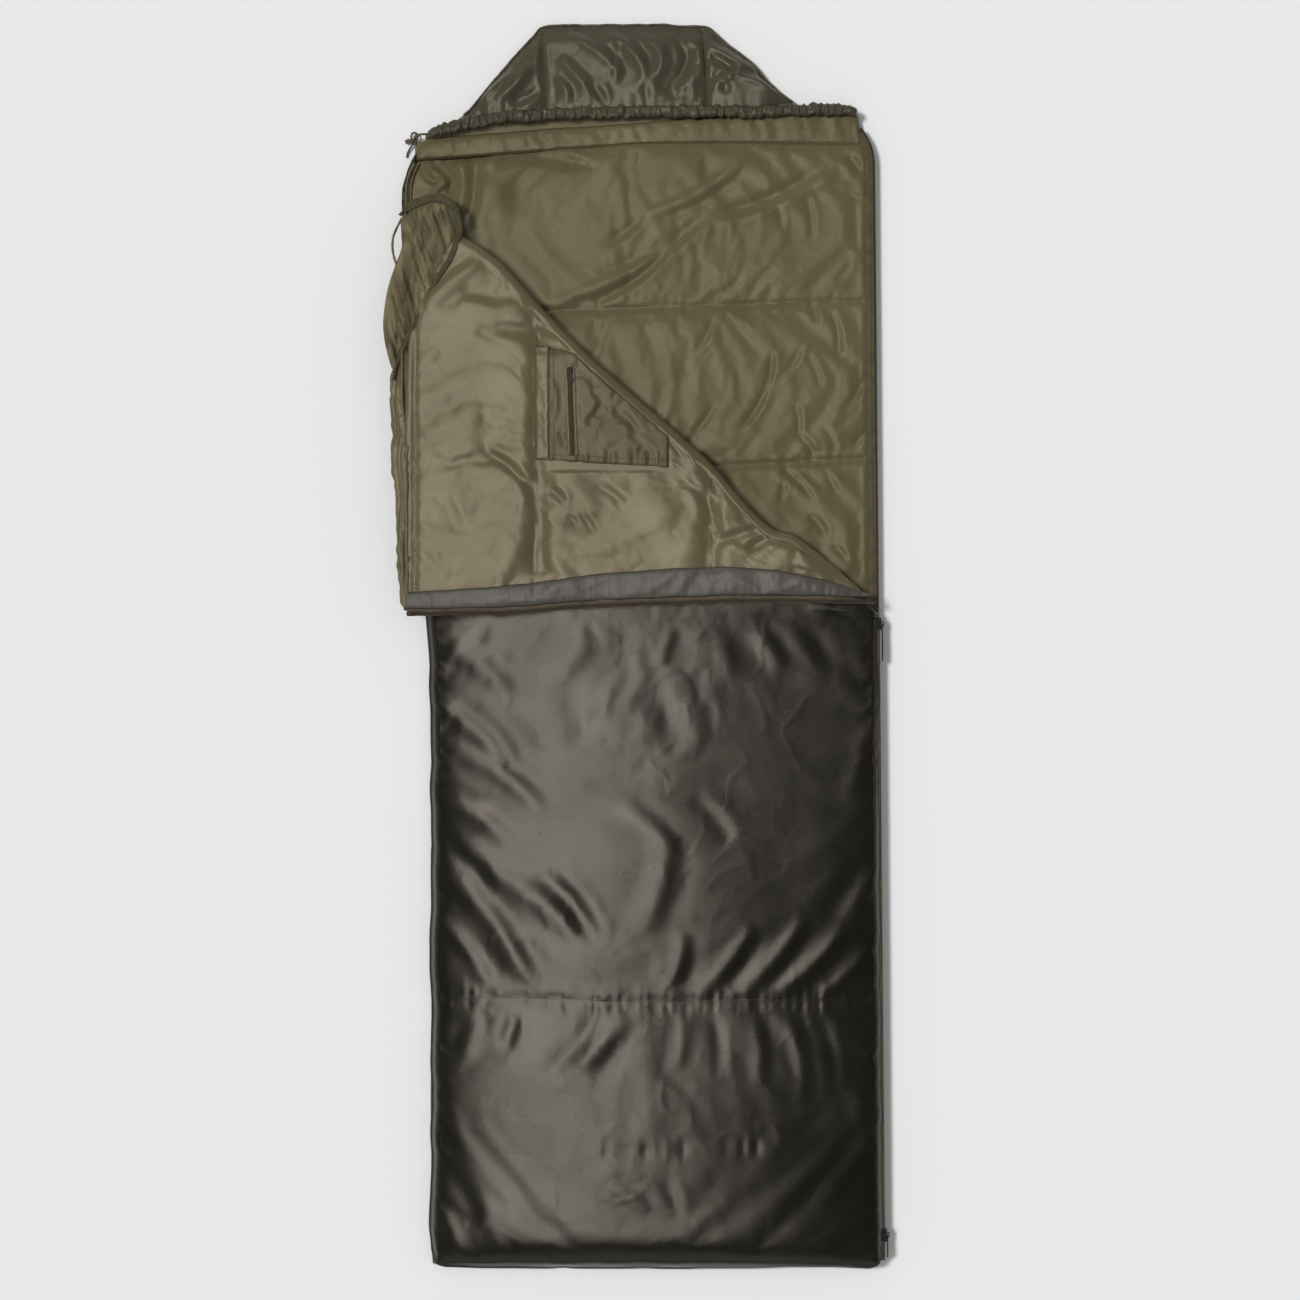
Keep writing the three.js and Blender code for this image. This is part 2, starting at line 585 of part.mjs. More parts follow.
// ---------------------------------------------------------------- hood
// Its frame has the origin at the left end of the neck axis, x along the axis, and y towards the crown.
function buildHood() {
  const hood = new THREE.Group();
  hood.position.set(NECK_LEFT.x, NECK_LEFT.y, 0);
  hood.rotation.z = Math.atan2(NECK_RIGHT.y - NECK_LEFT.y, NECK_RIGHT.x - NECK_LEFT.x);
  bag.add(hood);

  const crown = [
    [640, 44],
    [581, 104],
    [548, 132],
    [512, 168],
    [244, 187],
    [198, 150],
    [143, 96],
    [108, 58],
  ];
  const backPanel = (inset) =>
    outline([
      [34 + inset, HOOD_CLEAR],
      [764 - inset, HOOD_CLEAR],
      [758 - inset, 32 - inset],
      [664, 36 - inset],
      ...parallel(crown, inset),
      [46 + inset, 30 - inset],
    ]);
  add(hood, "hood_back_shell", sheet(backPanel(0), backShell), SHELL);
  add(hood, "hood_insulation", pad(backPanel(EDGE_INSET), backBatting), BATTING);
  add(hood, "hood_lining", sheet(backPanel(EDGE_INSET), backLining), LINING);

  // The drawcord channel, along the face opening.
  const channelLine = [
    [36, 25],
    [70, 33],
    [124, 39],
    [191, 41],
    [324, 38],
    [490, 31],
    [556, 27],
    [655, 24],
    [750, 24],
  ];
  const channelZ = HOOD_FRONT_Z + CHANNEL_HEIGHT / 2;
  const curve = new THREE.CatmullRomCurve3(channelLine.map(([x, y]) => new THREE.Vector3(x, y, channelZ)));
  const run = curve.getSpacedPoints(36).map((p) => [p.x, p.y]);
  const half = CHANNEL_WIDTH / 2;
  const casing = pad(ribbon(run, half, -half), [HOOD_FRONT_Z, HOOD_FRONT_Z + CHANNEL_HEIGHT], 2.5);
  const core = run.map(([x, y]) => [x, y, channelZ]);
  const beyond = [[core[0][0] - 6, core[0][1] - 1.4, channelZ], ...core, [core.at(-1)[0] + 6, core.at(-1)[1], channelZ]];
  const bore = roundTube(beyond, CORD_BORE, 8, 40);
  add(hood, "hood_cord_channel", toGeometry(solid(casing).subtract(solid(bore))), SHELL);
  add(hood, "hood_drawcord", roundTube(core, CORD_RADIUS, 8, 40), CORD);

  // Three panels over the head, between the channel and the crown.
  const front = [HOOD_FRONT_Z, HOOD_FRONT_Z + HOOD_FRONT_THICK];
  const channelTop = (fromX, toX) => {
    const points = run.filter(([x]) => x > fromX && x < toX).map(([x, y]) => [x, y + half + GAP]);
    const edge = (x) => {
      const i = run.findIndex((p) => p[0] >= x);
      const t = (x - run[i - 1][0]) / (run[i][0] - run[i - 1][0]);
      return [x, run[i - 1][1] + t * (run[i][1] - run[i - 1][1]) + half + GAP];
    };
    return [edge(fromX), ...points, edge(toX)];
  };
  const inner = parallel(crown, EDGE_INSET);
  const [right1, right2, right3, rightTop, leftTop, left1, left2, left3] = inner;
  add(hood, "hood_panel_left", pad(outline([...channelTop(96, 235), leftTop, left1, left2, left3]), front), SHELL);
  const centre = [...channelTop(235 + GAP, 504), [rightTop[0] - 3, rightTop[1]], [leftTop[0] + GAP, leftTop[1]]];
  add(hood, "hood_panel_centre", pad(outline(centre), front), SHELL);
  const right = [...channelTop(504 + GAP, 634), right1, right2, right3, [rightTop[0] - 3 + GAP, rightTop[1]]];
  add(hood, "hood_panel_right", pad(outline(right), front), SHELL);
  add(hood, "hood_crown_seam", sheet(ribbon(crown, 0, WALL), [backShell[1] + GAP, front[1]]), SHELL);

  // The free end of the drawcord, and its knot, on the ground beside the corner.
  const exit = core[0];
  const tail = [
    [exit[0] - GAP, exit[1], channelZ],
    [exit[0] - 7, exit[1] - 0.8, channelZ - 0.4],
    [exit[0] - 14, exit[1] - 2, channelZ - 4],
    [exit[0] - 19, exit[1] - 4, channelZ - 12],
    [exit[0] - 21, exit[1] - 7, channelZ - 19],
  ];
  add(hood, "hood_cord_tail", roundTube(tail, CORD_RADIUS, 8, 8), CORD);
  const knot = new THREE.SphereGeometry(1, 10, 8).scale(6, 5, 3.6);
  add(hood, "hood_cord_knot", knot, CORD).position.set(exit[0] - 26, exit[1] - 13, 3.8);
}

buildBody();
buildSideZip();
buildFlap();
buildHood();

export default bag;
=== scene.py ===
"""Looks of a hooded rectangular sleeping bag, laid flat, with the upper front corner folded back."""
import json
import math

import bpy
import numpy as np
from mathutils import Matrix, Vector, noise
from mathutils.bvhtree import BVHTree

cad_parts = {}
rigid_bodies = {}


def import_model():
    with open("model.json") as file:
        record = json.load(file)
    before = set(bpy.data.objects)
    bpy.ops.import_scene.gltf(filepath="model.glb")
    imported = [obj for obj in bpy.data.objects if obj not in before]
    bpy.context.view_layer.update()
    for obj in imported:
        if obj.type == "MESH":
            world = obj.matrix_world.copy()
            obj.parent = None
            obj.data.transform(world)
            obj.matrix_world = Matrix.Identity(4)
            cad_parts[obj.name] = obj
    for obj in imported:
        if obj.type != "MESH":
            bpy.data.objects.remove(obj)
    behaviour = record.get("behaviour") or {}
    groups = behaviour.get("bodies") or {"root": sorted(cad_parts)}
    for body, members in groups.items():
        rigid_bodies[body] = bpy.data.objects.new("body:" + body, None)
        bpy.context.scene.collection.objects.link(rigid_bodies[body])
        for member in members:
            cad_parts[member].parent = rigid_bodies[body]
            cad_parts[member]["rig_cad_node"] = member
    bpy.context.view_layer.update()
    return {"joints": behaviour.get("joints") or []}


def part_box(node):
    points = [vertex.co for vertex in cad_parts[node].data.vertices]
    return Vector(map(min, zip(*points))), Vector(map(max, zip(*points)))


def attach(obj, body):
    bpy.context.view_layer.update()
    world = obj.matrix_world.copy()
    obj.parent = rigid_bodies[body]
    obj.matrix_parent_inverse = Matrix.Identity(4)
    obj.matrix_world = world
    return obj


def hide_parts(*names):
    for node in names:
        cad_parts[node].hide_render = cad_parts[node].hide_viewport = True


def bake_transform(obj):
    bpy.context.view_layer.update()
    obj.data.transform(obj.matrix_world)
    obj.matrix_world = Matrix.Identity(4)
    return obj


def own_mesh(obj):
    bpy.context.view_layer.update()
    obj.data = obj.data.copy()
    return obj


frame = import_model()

MM = 0.001

# ---------------------------------------------------------------- places, in millimetres, from the frame
JOINTS = {joint["name"]: joint for joint in frame["joints"]}


def box(node):
    low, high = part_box(node)
    return np.array(low) / MM, np.array(high) / MM


def joint_line(name):
    joint = JOINTS[name]
    return np.array(joint["pos_m"]) / MM, np.array(joint["axis"], float)


FOLD_POINT, FOLD_DIR = joint_line("flap_fold")
NECK_POINT, NECK_DIR = joint_line("hood_lift")
ZIP_DIR = np.array(JOINTS["main_zip_slide"]["axis"], float)
BACK_LOW, BACK_HIGH = box("back_shell")
FOOT_LOW, FOOT_HIGH = box("front_shell_foot")
FRONT_LINING_Z = box("front_lining")[0][2]
FRONT_TOP_Z = FOOT_HIGH[2]
FLAP_SHELL_Z = box("flap_shell")[0][2]
FLAP_LINING_Z = box("flap_lining")[1][2]
CHANNEL_LOW, CHANNEL_HIGH = box("hood_cord_channel")
TAPE_BACK_Z = box("zip_tape_back")[1][2]
TAPE_FRONT_Z = box("zip_tape_front")[0][2]
FOOT_Y = BACK_LOW[1]
SEAM_Y = FOOT_HIGH[1]
ZIP_X = FOLD_POINT[0] - FOLD_POINT[1] * ZIP_DIR[0] / ZIP_DIR[1]
ZIP_Z = (box("zip_coil_back")[1][2] + box("zip_coil_front")[0][2]) / 2
CORNER_ROUND, CORNER_FROM_Y = 24, 832
FLARE = (-50, 650)  # the left side leans outwards between these heights


def left_x(y):
    t = np.clip((np.asarray(y, float) - FLARE[0]) / (FLARE[1] - FLARE[0]), 0, 1)
    return FOOT_LOW[0] + (BACK_LOW[0] - FOOT_LOW[0]) * t * t * (3 - 2 * t)


def zip_x(y):
    return ZIP_X + np.asarray(y, float) * ZIP_DIR[0] / ZIP_DIR[1]


def corner_in(y):
    """How far the rounded upper left corner lies inside the plain side."""
    return CORNER_ROUND * np.clip((np.asarray(y, float) - CORNER_FROM_Y) / 75, 0, 1.2) ** 2


def neck_y(x):
    return NECK_POINT[1] + (np.asarray(x, float) - NECK_POINT[0]) * NECK_DIR[1] / NECK_DIR[0]


def from_neck(x, y):
    """World places of points given along and beyond the neck line."""
    x, y = np.asarray(x, float), np.asarray(y, float)
    return (
        NECK_POINT[0] + x * NECK_DIR[0] - y * NECK_DIR[1],
        NECK_POINT[1] + x * NECK_DIR[1] + y * NECK_DIR[0],
    )


# ---------------------------------------------------------------- camera, light and floor, in metres
CAMERA_PLACE, CAMERA_LENS = (-0.0083, 0.0747, 4.54), 75
SUN_PLACE, SUN_POWER, SUN_SPREAD = (-1.2, 0.4, 2.0), 2.3, 13
SOFTBOX_PLACE, SOFTBOX_SIZE, SOFTBOX_POWER = (-0.95, 0.0, 6.0), (1.0, 6.0), 165
CARD_FAR, CARD_HEIGHT, CARD_SIZE, CARD_POWER = 5, 2.4, (7.0, 3.0), 30
SKY_STRENGTH = 0.40
FLOOR_SIZE, FLOOR_Z, FLOOR_GREY = 400, -0.0005, 0.8


def placed(name, data, location):
    thing = bpy.data.objects.new(name, data)
    bpy.context.collection.objects.link(thing)
    thing.location = location
    return thing


def make_camera():
    data = bpy.data.cameras.new("camera")
    data.lens = CAMERA_LENS
    data.sensor_width = 36
    bpy.context.scene.camera = placed("camera", data, CAMERA_PLACE)


def mirrored_lamp(name, size, power, location):
    """A rectangular lamp that is only seen in reflections."""
    data = bpy.data.lights.new(name, "AREA")
    data.shape = "RECTANGLE"
    data.size, data.size_y = size
    data.energy = power
    lamp = placed(name, data, location)
    lamp.visible_diffuse = False
    return lamp


def make_light():
    data = bpy.data.lights.new("sun", "SUN")
    data.energy = SUN_POWER
    data.angle = math.radians(SUN_SPREAD)
    sun = placed("sun", data, SUN_PLACE)
    sun.rotation_euler = (-Vector(SUN_PLACE)).to_track_quat("-Z", "Y").to_euler()
    sun.visible_glossy = False

    # a broad strip, high on the left, and cards that stand round the bag for views from the side
    mirrored_lamp("softbox", SOFTBOX_SIZE, SOFTBOX_POWER, SOFTBOX_PLACE)
    for number, (x, y, turn) in enumerate(((-1, 0, 90), (1, 0, -90), (0, -1, 180), (0, 1, 0))):
        location = (CARD_FAR * x, CARD_FAR * y, CARD_HEIGHT)
        card = mirrored_lamp(f"card_{number}", CARD_SIZE, CARD_POWER, location)
        card.rotation_euler = (math.radians(-90), 0, math.radians(turn))

    world = bpy.data.worlds.new("studio")
    world.use_nodes = True
    world.node_tree.nodes["Background"].inputs["Color"].default_value = (1, 1, 1, 1)
    world.node_tree.nodes["Background"].inputs["Strength"].default_value = SKY_STRENGTH
    world.cycles_visibility.glossy = False
    bpy.context.scene.world = world


def make_floor():
    bpy.ops.mesh.primitive_plane_add(size=FLOOR_SIZE, location=(0, 0, FLOOR_Z))
    floor = bpy.context.object
    floor.name = "floor"
    material = bpy.data.materials.new("floor")
    material.use_nodes = True
    shader = material.node_tree.nodes["Principled BSDF"]
    shader.inputs["Base Color"].default_value = (FLOOR_GREY, FLOOR_GREY, FLOOR_GREY, 1)
    shader.inputs["Roughness"].default_value = 0.95
    shader.inputs["Specular IOR Level"].default_value = 0.0
    floor.data.materials.append(material)


# ---------------------------------------------------------------- materials
def colour(text):
    """Linear colour of an sRGB hex string."""
    values = [int(text[i : i + 2], 16) / 255 for i in (0, 2, 4)]
    return tuple(v / 12.92 if v < 0.04045 else ((v + 0.055) / 1.055) ** 2.4 for v in values)


class Material:
    """A Principled material whose colour and bump are built from object-space patterns."""

    def __init__(self, name, rgb, roughness, **sockets):
        self.material = bpy.data.materials.new(name)
        self.material.use_nodes = True
        self.tree = self.material.node_tree
        self.shader = self.tree.nodes["Principled BSDF"]
        self.shader.inputs["Base Color"].default_value = (*rgb, 1)
        self.shader.inputs["Roughness"].default_value = roughness
        for key, value in sockets.items():
            self.shader.inputs[key.replace("_", " ")].default_value = value
        self.coordinates = self.tree.nodes.new("ShaderNodeTexCoord").outputs["Object"]
        self.rgb = rgb
        self.normal = None

    def node(self, kind, **values):
        made = self.tree.nodes.new(kind)
        for key, value in values.items():
            if hasattr(made, key):
                setattr(made, key, value)
            else:
                made.inputs[key.replace("_", " ")].default_value = value
        return made

    def link(self, start, end):
        self.tree.links.new(start, end)

    def stretched(self, scale, turn=0.0):
        mapping = self.node("ShaderNodeMapping")
        mapping.inputs["Scale"].default_value = scale
        mapping.inputs["Rotation"].default_value = (0, 0, turn)
        self.link(self.coordinates, mapping.inputs["Vector"])
        return mapping.outputs["Vector"]

    def noise(self, scale, detail=3.0, stretch=(1, 1, 1), turn=0.0, distortion=0.0):
        made = self.node("ShaderNodeTexNoise", Scale=scale, Detail=detail, Distortion=distortion)
        self.link(self.stretched(stretch, turn), made.inputs["Vector"])
        return made.outputs["Fac"]

    def weave(self, threads, turn=0.0):
        """Crossing threads, at this many per metre."""
        over = self.node("ShaderNodeTexWave", Scale=threads / 6.3, wave_type="BANDS", bands_direction="X")
        under = self.node("ShaderNodeTexWave", Scale=threads / 6.3, wave_type="BANDS", bands_direction="Y")
        for wave in (over, under):
            self.link(self.stretched((1, 1, 1), turn), wave.inputs["Vector"])
        mix = self.node("ShaderNodeMath", operation="ADD")
        self.link(over.outputs["Fac"], mix.inputs[0])
        self.link(under.outputs["Fac"], mix.inputs[1])
        return mix.outputs["Value"]

    def bump(self, height, distance, strength=1.0):
        made = self.node("ShaderNodeBump", Strength=strength, Distance=distance)
        self.link(height, made.inputs["Height"])
        if self.normal is not None:
            self.link(self.normal, made.inputs["Normal"])
        self.normal = made.outputs["Normal"]
        self.link(self.normal, self.shader.inputs["Normal"])

    def vary(self, factor, dark, light):
        """The base colour between two multiples of it."""
        ramp = self.node("ShaderNodeValToRGB")
        ramp.color_ramp.elements[0].position = 0.3
        ramp.color_ramp.elements[1].position = 0.7
        ramp.color_ramp.elements[0].color = (*[c * dark for c in self.rgb], 1)
        ramp.color_ramp.elements[1].color = (*[min(c * light, 1) for c in self.rgb], 1)
        self.link(factor, ramp.inputs["Fac"])
        self.link(ramp.outputs["Color"], self.shader.inputs["Base Color"])

    def roughness(self, factor, low, high):
        spread = self.node("ShaderNodeMapRange", To_Min=low, To_Max=high)
        spread.inputs["From Min"].default_value = 0.3
        spread.inputs["From Max"].default_value = 0.7
        self.link(factor, spread.inputs["Value"])
        self.link(spread.outputs["Result"], self.shader.inputs["Roughness"])


def satin(name, rgb, roughness, crumple, specular, tint=(1.0, 0.93, 0.84, 1)):
    """Calendered nylon: fine crumples, a close weave, and slow changes of tone."""
    made = Material(name, rgb, roughness, Specular_IOR_Level=specular)
    made.shader.inputs["Specular Tint"].default_value = tint
    made.vary(made.noise(5, 3), 0.86, 1.14)
    made.roughness(made.noise(9, 4), roughness - 0.04, roughness + 0.05)
    made.bump(made.noise(16, 3, stretch=(1, 0.6, 1), turn=0.5, distortion=0.5), crumple * MM)
    made.bump(made.noise(70, 4, distortion=0.4), 0.2 * crumple * MM)
    made.bump(made.weave(1500, turn=0.02), 0.04 * MM, 0.6)
    return made.material


def woven(name, rgb, roughness, threads, depth):
    made = Material(name, rgb, roughness, Specular_IOR_Level=0.3)
    made.vary(made.noise(60, 4), 0.8, 1.2)
    made.bump(made.weave(threads), depth * MM)
    made.bump(made.noise(200, 3), 0.3 * depth * MM)
    return made.material


def gauze(name, rgb):
    """Fine insect net: an opaque grid of threads, with streaks of uneven tone."""
    made = Material(name, rgb, 0.7, Specular_IOR_Level=0.3)
    made.vary(made.noise(40, 5, stretch=(2.0, 0.5, 1), turn=0.35, distortion=0.8), 0.5, 1.45)
    made.bump(made.noise(45, 5, stretch=(2.2, 0.5, 1), turn=0.35, distortion=1.0), 1.6 * MM)
    made.bump(made.weave(900, turn=0.7), 0.25 * MM)
    return made.material


def hard(name, rgb, roughness, metallic):
    made = Material(name, rgb, roughness, Metallic=metallic)
    made.vary(made.noise(300, 3), 0.8, 1.15)
    made.roughness(made.noise(700, 4), roughness - 0.08, roughness + 0.1)
    made.bump(made.noise(900, 3), 0.05 * MM)
    return made.material


MATERIALS = {}


def make_materials():
    MATERIALS.update(
        shell=satin("shell_satin", colour("181713"), 0.26, 0.16, 0.62, (1.0, 0.9, 0.76, 1)),
        hood=satin("hood_satin", colour("423e30"), 0.36, 0.2, 0.6, (1.0, 0.91, 0.76, 1)),
        lining=satin("lining_satin", colour("5a533b"), 0.38, 0.35, 0.42, (1.0, 0.9, 0.66, 1)),
        flap=satin("flap_satin", colour("5a523a"), 0.36, 0.3, 0.75, (1.0, 0.9, 0.7, 1)),
        pocket=satin("pocket_satin", colour("4c4531"), 0.36, 0.5, 0.45, (1.0, 0.9, 0.68, 1)),
        draft=satin("draft_satin", colour("4b4842"), 0.4, 0.5, 0.5, (1.0, 0.95, 0.9, 1)),
        tape=woven("zip_tape", colour("584c3d"), 0.8, 900, 0.15),
        side_tape=woven("side_zip_tape", colour("524b35"), 0.8, 900, 0.15),
        binding=woven("binding", colour("4d4731"), 0.7, 700, 0.2),
        net=gauze("insect_net", colour("665d44")),
        thread=woven("thread", colour("3a3527"), 0.8, 1500, 0.1),
        cord=woven("cord", colour("4a4434"), 0.85, 1200, 0.2),
        coil=hard("coil_nylon", colour("3a342b"), 0.4, 0.0),
        metal=hard("dark_metal", colour("2a2723"), 0.38, 0.8),
    )


# ---------------------------------------------------------------- curves, noise and meshes
def curve_through(points, count):
    """Evenly spaced points on a smooth curve through the given ones."""
    p = np.array(points, float)
    ends = np.vstack([2 * p[0] - p[1], p, 2 * p[-1] - p[-2]])
    fine = []
    for i in range(len(p) - 1):
        a, b, c, d = ends[i : i + 4]
        for t in np.linspace(0, 1, 24, endpoint=False):
            square, cube = t * t, t * t * t
            bow = (2 * a - 5 * b + 4 * c - d) * square + (3 * b - a - 3 * c + d) * cube
            fine.append(0.5 * (2 * b + (c - a) * t + bow))
    fine = np.array([*fine, p[-1]])
    along = np.concatenate([[0], np.cumsum(steps(fine))])
    stops = np.linspace(0, along[-1], count)
    return np.stack([np.interp(stops, along, fine[:, k]) for k in range(fine.shape[1])], axis=1)


def height_line(points):
    """y as a function of x along a smooth curve through points with rising x."""
    line = curve_through(points, 240)
    return lambda x: np.interp(x, line[:, 0], line[:, 1])


def rough(x, y, size, seed, octaves=3):
    """Perlin noise of a given feature size over arrays of places."""
    flat = [
        noise.fractal(Vector((a / size, b / size, seed * 7.31)), 1.0, 2.0, octaves)
        for a, b in zip(np.ravel(x), np.ravel(y))
    ]
    return np.array(flat).reshape(np.shape(x))


def wobble(s, size, seed):
    """One-dimensional noise along a seam."""
    flat = [noise.noise(Vector((v / size, seed * 3.7, 0.5))) for v in np.ravel(s)]
    return np.array(flat).reshape(np.shape(s))


def bell(t):
    """1 at t = 0, and nearly 0 beyond t = 2 on both sides."""
    return np.exp(-(t**2))


def fold_section(side):
    """The section of a fold: its crest, and a shallower trough beside it."""
    return bell(side) - 0.45 * bell(side - 1.5)


def folds(x, y, strokes):
    """Height of soft folds: each stroke is x0, y0, x1, y1, width, height."""
    total = np.zeros(np.shape(x))
    for x0, y0, x1, y1, width, height in strokes:
        length = math.hypot(x1 - x0, y1 - y0)
        ux, uy = (x1 - x0) / length, (y1 - y0) / length
        along = (x - x0) * ux + (y - y0) * uy
        across = (x - x0) * -uy + (y - y0) * ux
        bend = 0.06 * length * np.sin(math.pi * np.clip(along / length, 0, 1))
        side = (across - bend) / width
        reach = np.clip(1 - (2 * np.abs(along / length - 0.5)) ** 3, 0, 1)
        reach = np.where((along < 0) | (along > length), 0, reach)
        total += height * reach * fold_section(side)
    return total


def ridges(x, y, curves):
    """Height of folds that bend: each curve is its points, width and height."""
    total = np.zeros(np.shape(x))
    for points, width, height in curves:
        line = curve_through(points, 40)
        dx, dy = np.asarray(x)[..., None] - line[:, 0], np.asarray(y)[..., None] - line[:, 1]
        far = np.hypot(dx, dy)
        nearest = far.argmin(axis=-1)
        ahead = unit(np.gradient(line, axis=0))[nearest]
        pick = nearest[..., None]
        dx, dy = np.take_along_axis(dx, pick, -1)[..., 0], np.take_along_axis(dy, pick, -1)[..., 0]
        side = (ahead[..., 0] * dy - ahead[..., 1] * dx) / width
        taper = np.sin(math.pi * nearest / (len(line) - 1)) ** 0.7
        total += height * taper * fold_section(side)
    return total


def creases(x, y, size, seed):
    """Thin soft ridges where a slow noise changes sign, in some places and not in others."""
    line = np.clip(1 - 7 * np.abs(rough(x, y, size, seed, 2)), 0, 1) ** 2
    where = step_up((rough(x, y, 1.7 * size, seed + 50, 2) + 0.1) / 0.3)
    return line * where


class Ground:
    """The height of a finished surface, for the pieces that lie on it."""

    def __init__(self, grid):
        rows, cols, _ = grid.shape
        self.tree = BVHTree.FromPolygons(grid.reshape(-1, 3).tolist(), grid_faces(rows, cols).tolist())

    def over(self, x, y, otherwise):
        found = []
        for a, b in zip(np.ravel(x), np.ravel(y)):
            hit = self.tree.ray_cast(Vector((a, b, 400)), Vector((0, 0, -1)))[0]
            found.append(otherwise if hit is None else hit.z)
        return np.array(found).reshape(np.shape(x))

    def line(self, x, y, otherwise, lift):
        """Points of a line that lies this far above the surface."""
        return np.column_stack([x, y, self.over(x, y, otherwise) + lift])


def at_height(grid, z):
    """The same grid of points at other heights."""
    out = grid.copy()
    out[..., 2] = z
    return out


def held_edges(shape):
    """Pins for a cloth that is held along all four edges."""
    pins = np.zeros(shape)
    pins[0] = pins[-1] = 1
    pins[:, 0] = pins[:, -1] = 1
    return pins


def smoothed(values, cells):
    """Values averaged along a line, under a rounded window of this odd width."""
    window = np.hanning(cells) / np.hanning(cells).sum()
    return np.convolve(np.pad(values, cells // 2, "edge"), window, "valid")


def new_mesh(name, vertices, faces, material, body=None):
    """A mesh object from millimetre vertices."""
    data = bpy.data.meshes.new(name)
    data.from_pydata((np.asarray(vertices, float) * MM).tolist(), [], [list(map(int, f)) for f in faces])
    data.update()
    data.validate()
    piece = bpy.data.objects.new(name, data)
    bpy.context.collection.objects.link(piece)
    for item in material if isinstance(material, list) else [material]:
        data.materials.append(MATERIALS[item])
    data.shade_smooth()
    if body:
        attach(piece, body)
    return piece


def grid_faces(rows, cols, start=0):
    index = np.arange(rows * cols).reshape(rows, cols) + start
    return np.stack([index[:-1, :-1], index[:-1, 1:], index[1:, 1:], index[1:, :-1]], axis=-1).reshape(-1, 4)


def refine(grid, times=1):
    """A grid of points with its spacing halved, on smooth curves through the old ones."""
    for _ in range(times):
        for axis in (0, 1):
            g = np.moveaxis(grid, axis, 0)
            ends = np.concatenate([[2 * g[0] - g[1]], g, [2 * g[-1] - g[-2]]])
            middle = (9 * (ends[1:-2] + ends[2:-1]) - ends[:-3] - ends[3:]) / 16
            out = np.empty((2 * len(g) - 1, *g.shape[1:]))
            out[::2], out[1::2] = g, middle
            grid = np.moveaxis(out, 0, axis)
    return grid


def edge_loop(rows, cols):
    index = np.arange(rows * cols).reshape(rows, cols)
    return np.concatenate([index[0, :-1], index[:-1, -1], index[-1, :0:-1], index[:0:-1, 0]])


def unit(v):
    return v / np.maximum(np.linalg.norm(v, axis=-1, keepdims=True), 1e-9)


def closed_pad(name, top, bottom, materials, body, bulge=3.0, edge_slot=0):
    """A closed padded piece with a rounded edge, from its top and bottom surfaces on the same grid."""
    rows, cols, _ = top.shape
    loop = edge_loop(rows, cols)
    up, down = top.reshape(-1, 3), bottom.reshape(-1, 3)
    edge_top, edge_low = up[loop], down[loop]
    ahead = np.roll(edge_top, -1, axis=0) - np.roll(edge_top, 1, axis=0)
    out = unit(np.stack([ahead[:, 1], -ahead[:, 0], np.zeros(len(ahead))], axis=1))
    rings = []
    for t in (0.2, 0.5, 0.8) if bulge else ():
        rings.append(edge_top * (1 - t) + edge_low * t + out * bulge * math.sin(math.pi * t))
    count = len(loop)
    vertices = np.vstack([up, down, *rings])
    faces = [*grid_faces(rows, cols), *grid_faces(rows, cols, len(up))[:, ::-1]]
    chain = [loop, *[len(up) * 2 + k * count + np.arange(count) for k in range(len(rings))], loop + len(up)]
    for a, b in zip(chain[:-1], chain[1:]):
        faces.extend(np.stack([a, b, np.roll(b, -1), np.roll(a, -1)], axis=1))
    piece = new_mesh(name, vertices, faces, materials, body)
    if isinstance(materials, list):
        low = len(grid_faces(rows, cols))
        slots = np.zeros(len(piece.data.polygons), np.int32)
        slots[low : 2 * low] = 1
        slots[2 * low :] = edge_slot
        piece.data.polygons.foreach_set("material_index", slots)
    return piece


def thick_sheet(name, grid, thickness, material):
    """A sheet of fabric with this thickness, below the given surface."""
    normals = unit(np.cross(np.gradient(grid, axis=1), np.gradient(grid, axis=0)))
    return closed_pad(name, grid, grid - normals * thickness, material, None, bulge=0)


def laid_strip(name, first, second, across, height, crown, thickness, material, body):
    """A strip between two edge curves. Its surface has this height, plus a crown across."""
    t = np.linspace(0, 1, across)
    flat = first[:, None, :2] * (1 - t)[None, :, None] + second[:, None, :2] * t[None, :, None]
    base = height(flat[..., 0], flat[..., 1])
    top = np.dstack([flat, base + crown * dome(2 * t - 1, 2.2)[None, :]])
    bottom = np.dstack([flat, base - thickness])
    return closed_pad(name, top, bottom, material, body, bulge=0.3 * thickness)


def along_path(path):
    """Unit directions along, to the side of, and above each point of a path."""
    ahead = unit(np.gradient(path, axis=0))
    side = unit(np.cross(ahead, [0.0, 0.0, 1.0]))
    return ahead, side, np.cross(side, ahead)


def steps(path):
    """Distances from each point of a path to the next."""
    return np.linalg.norm(np.diff(path, axis=0), axis=1)


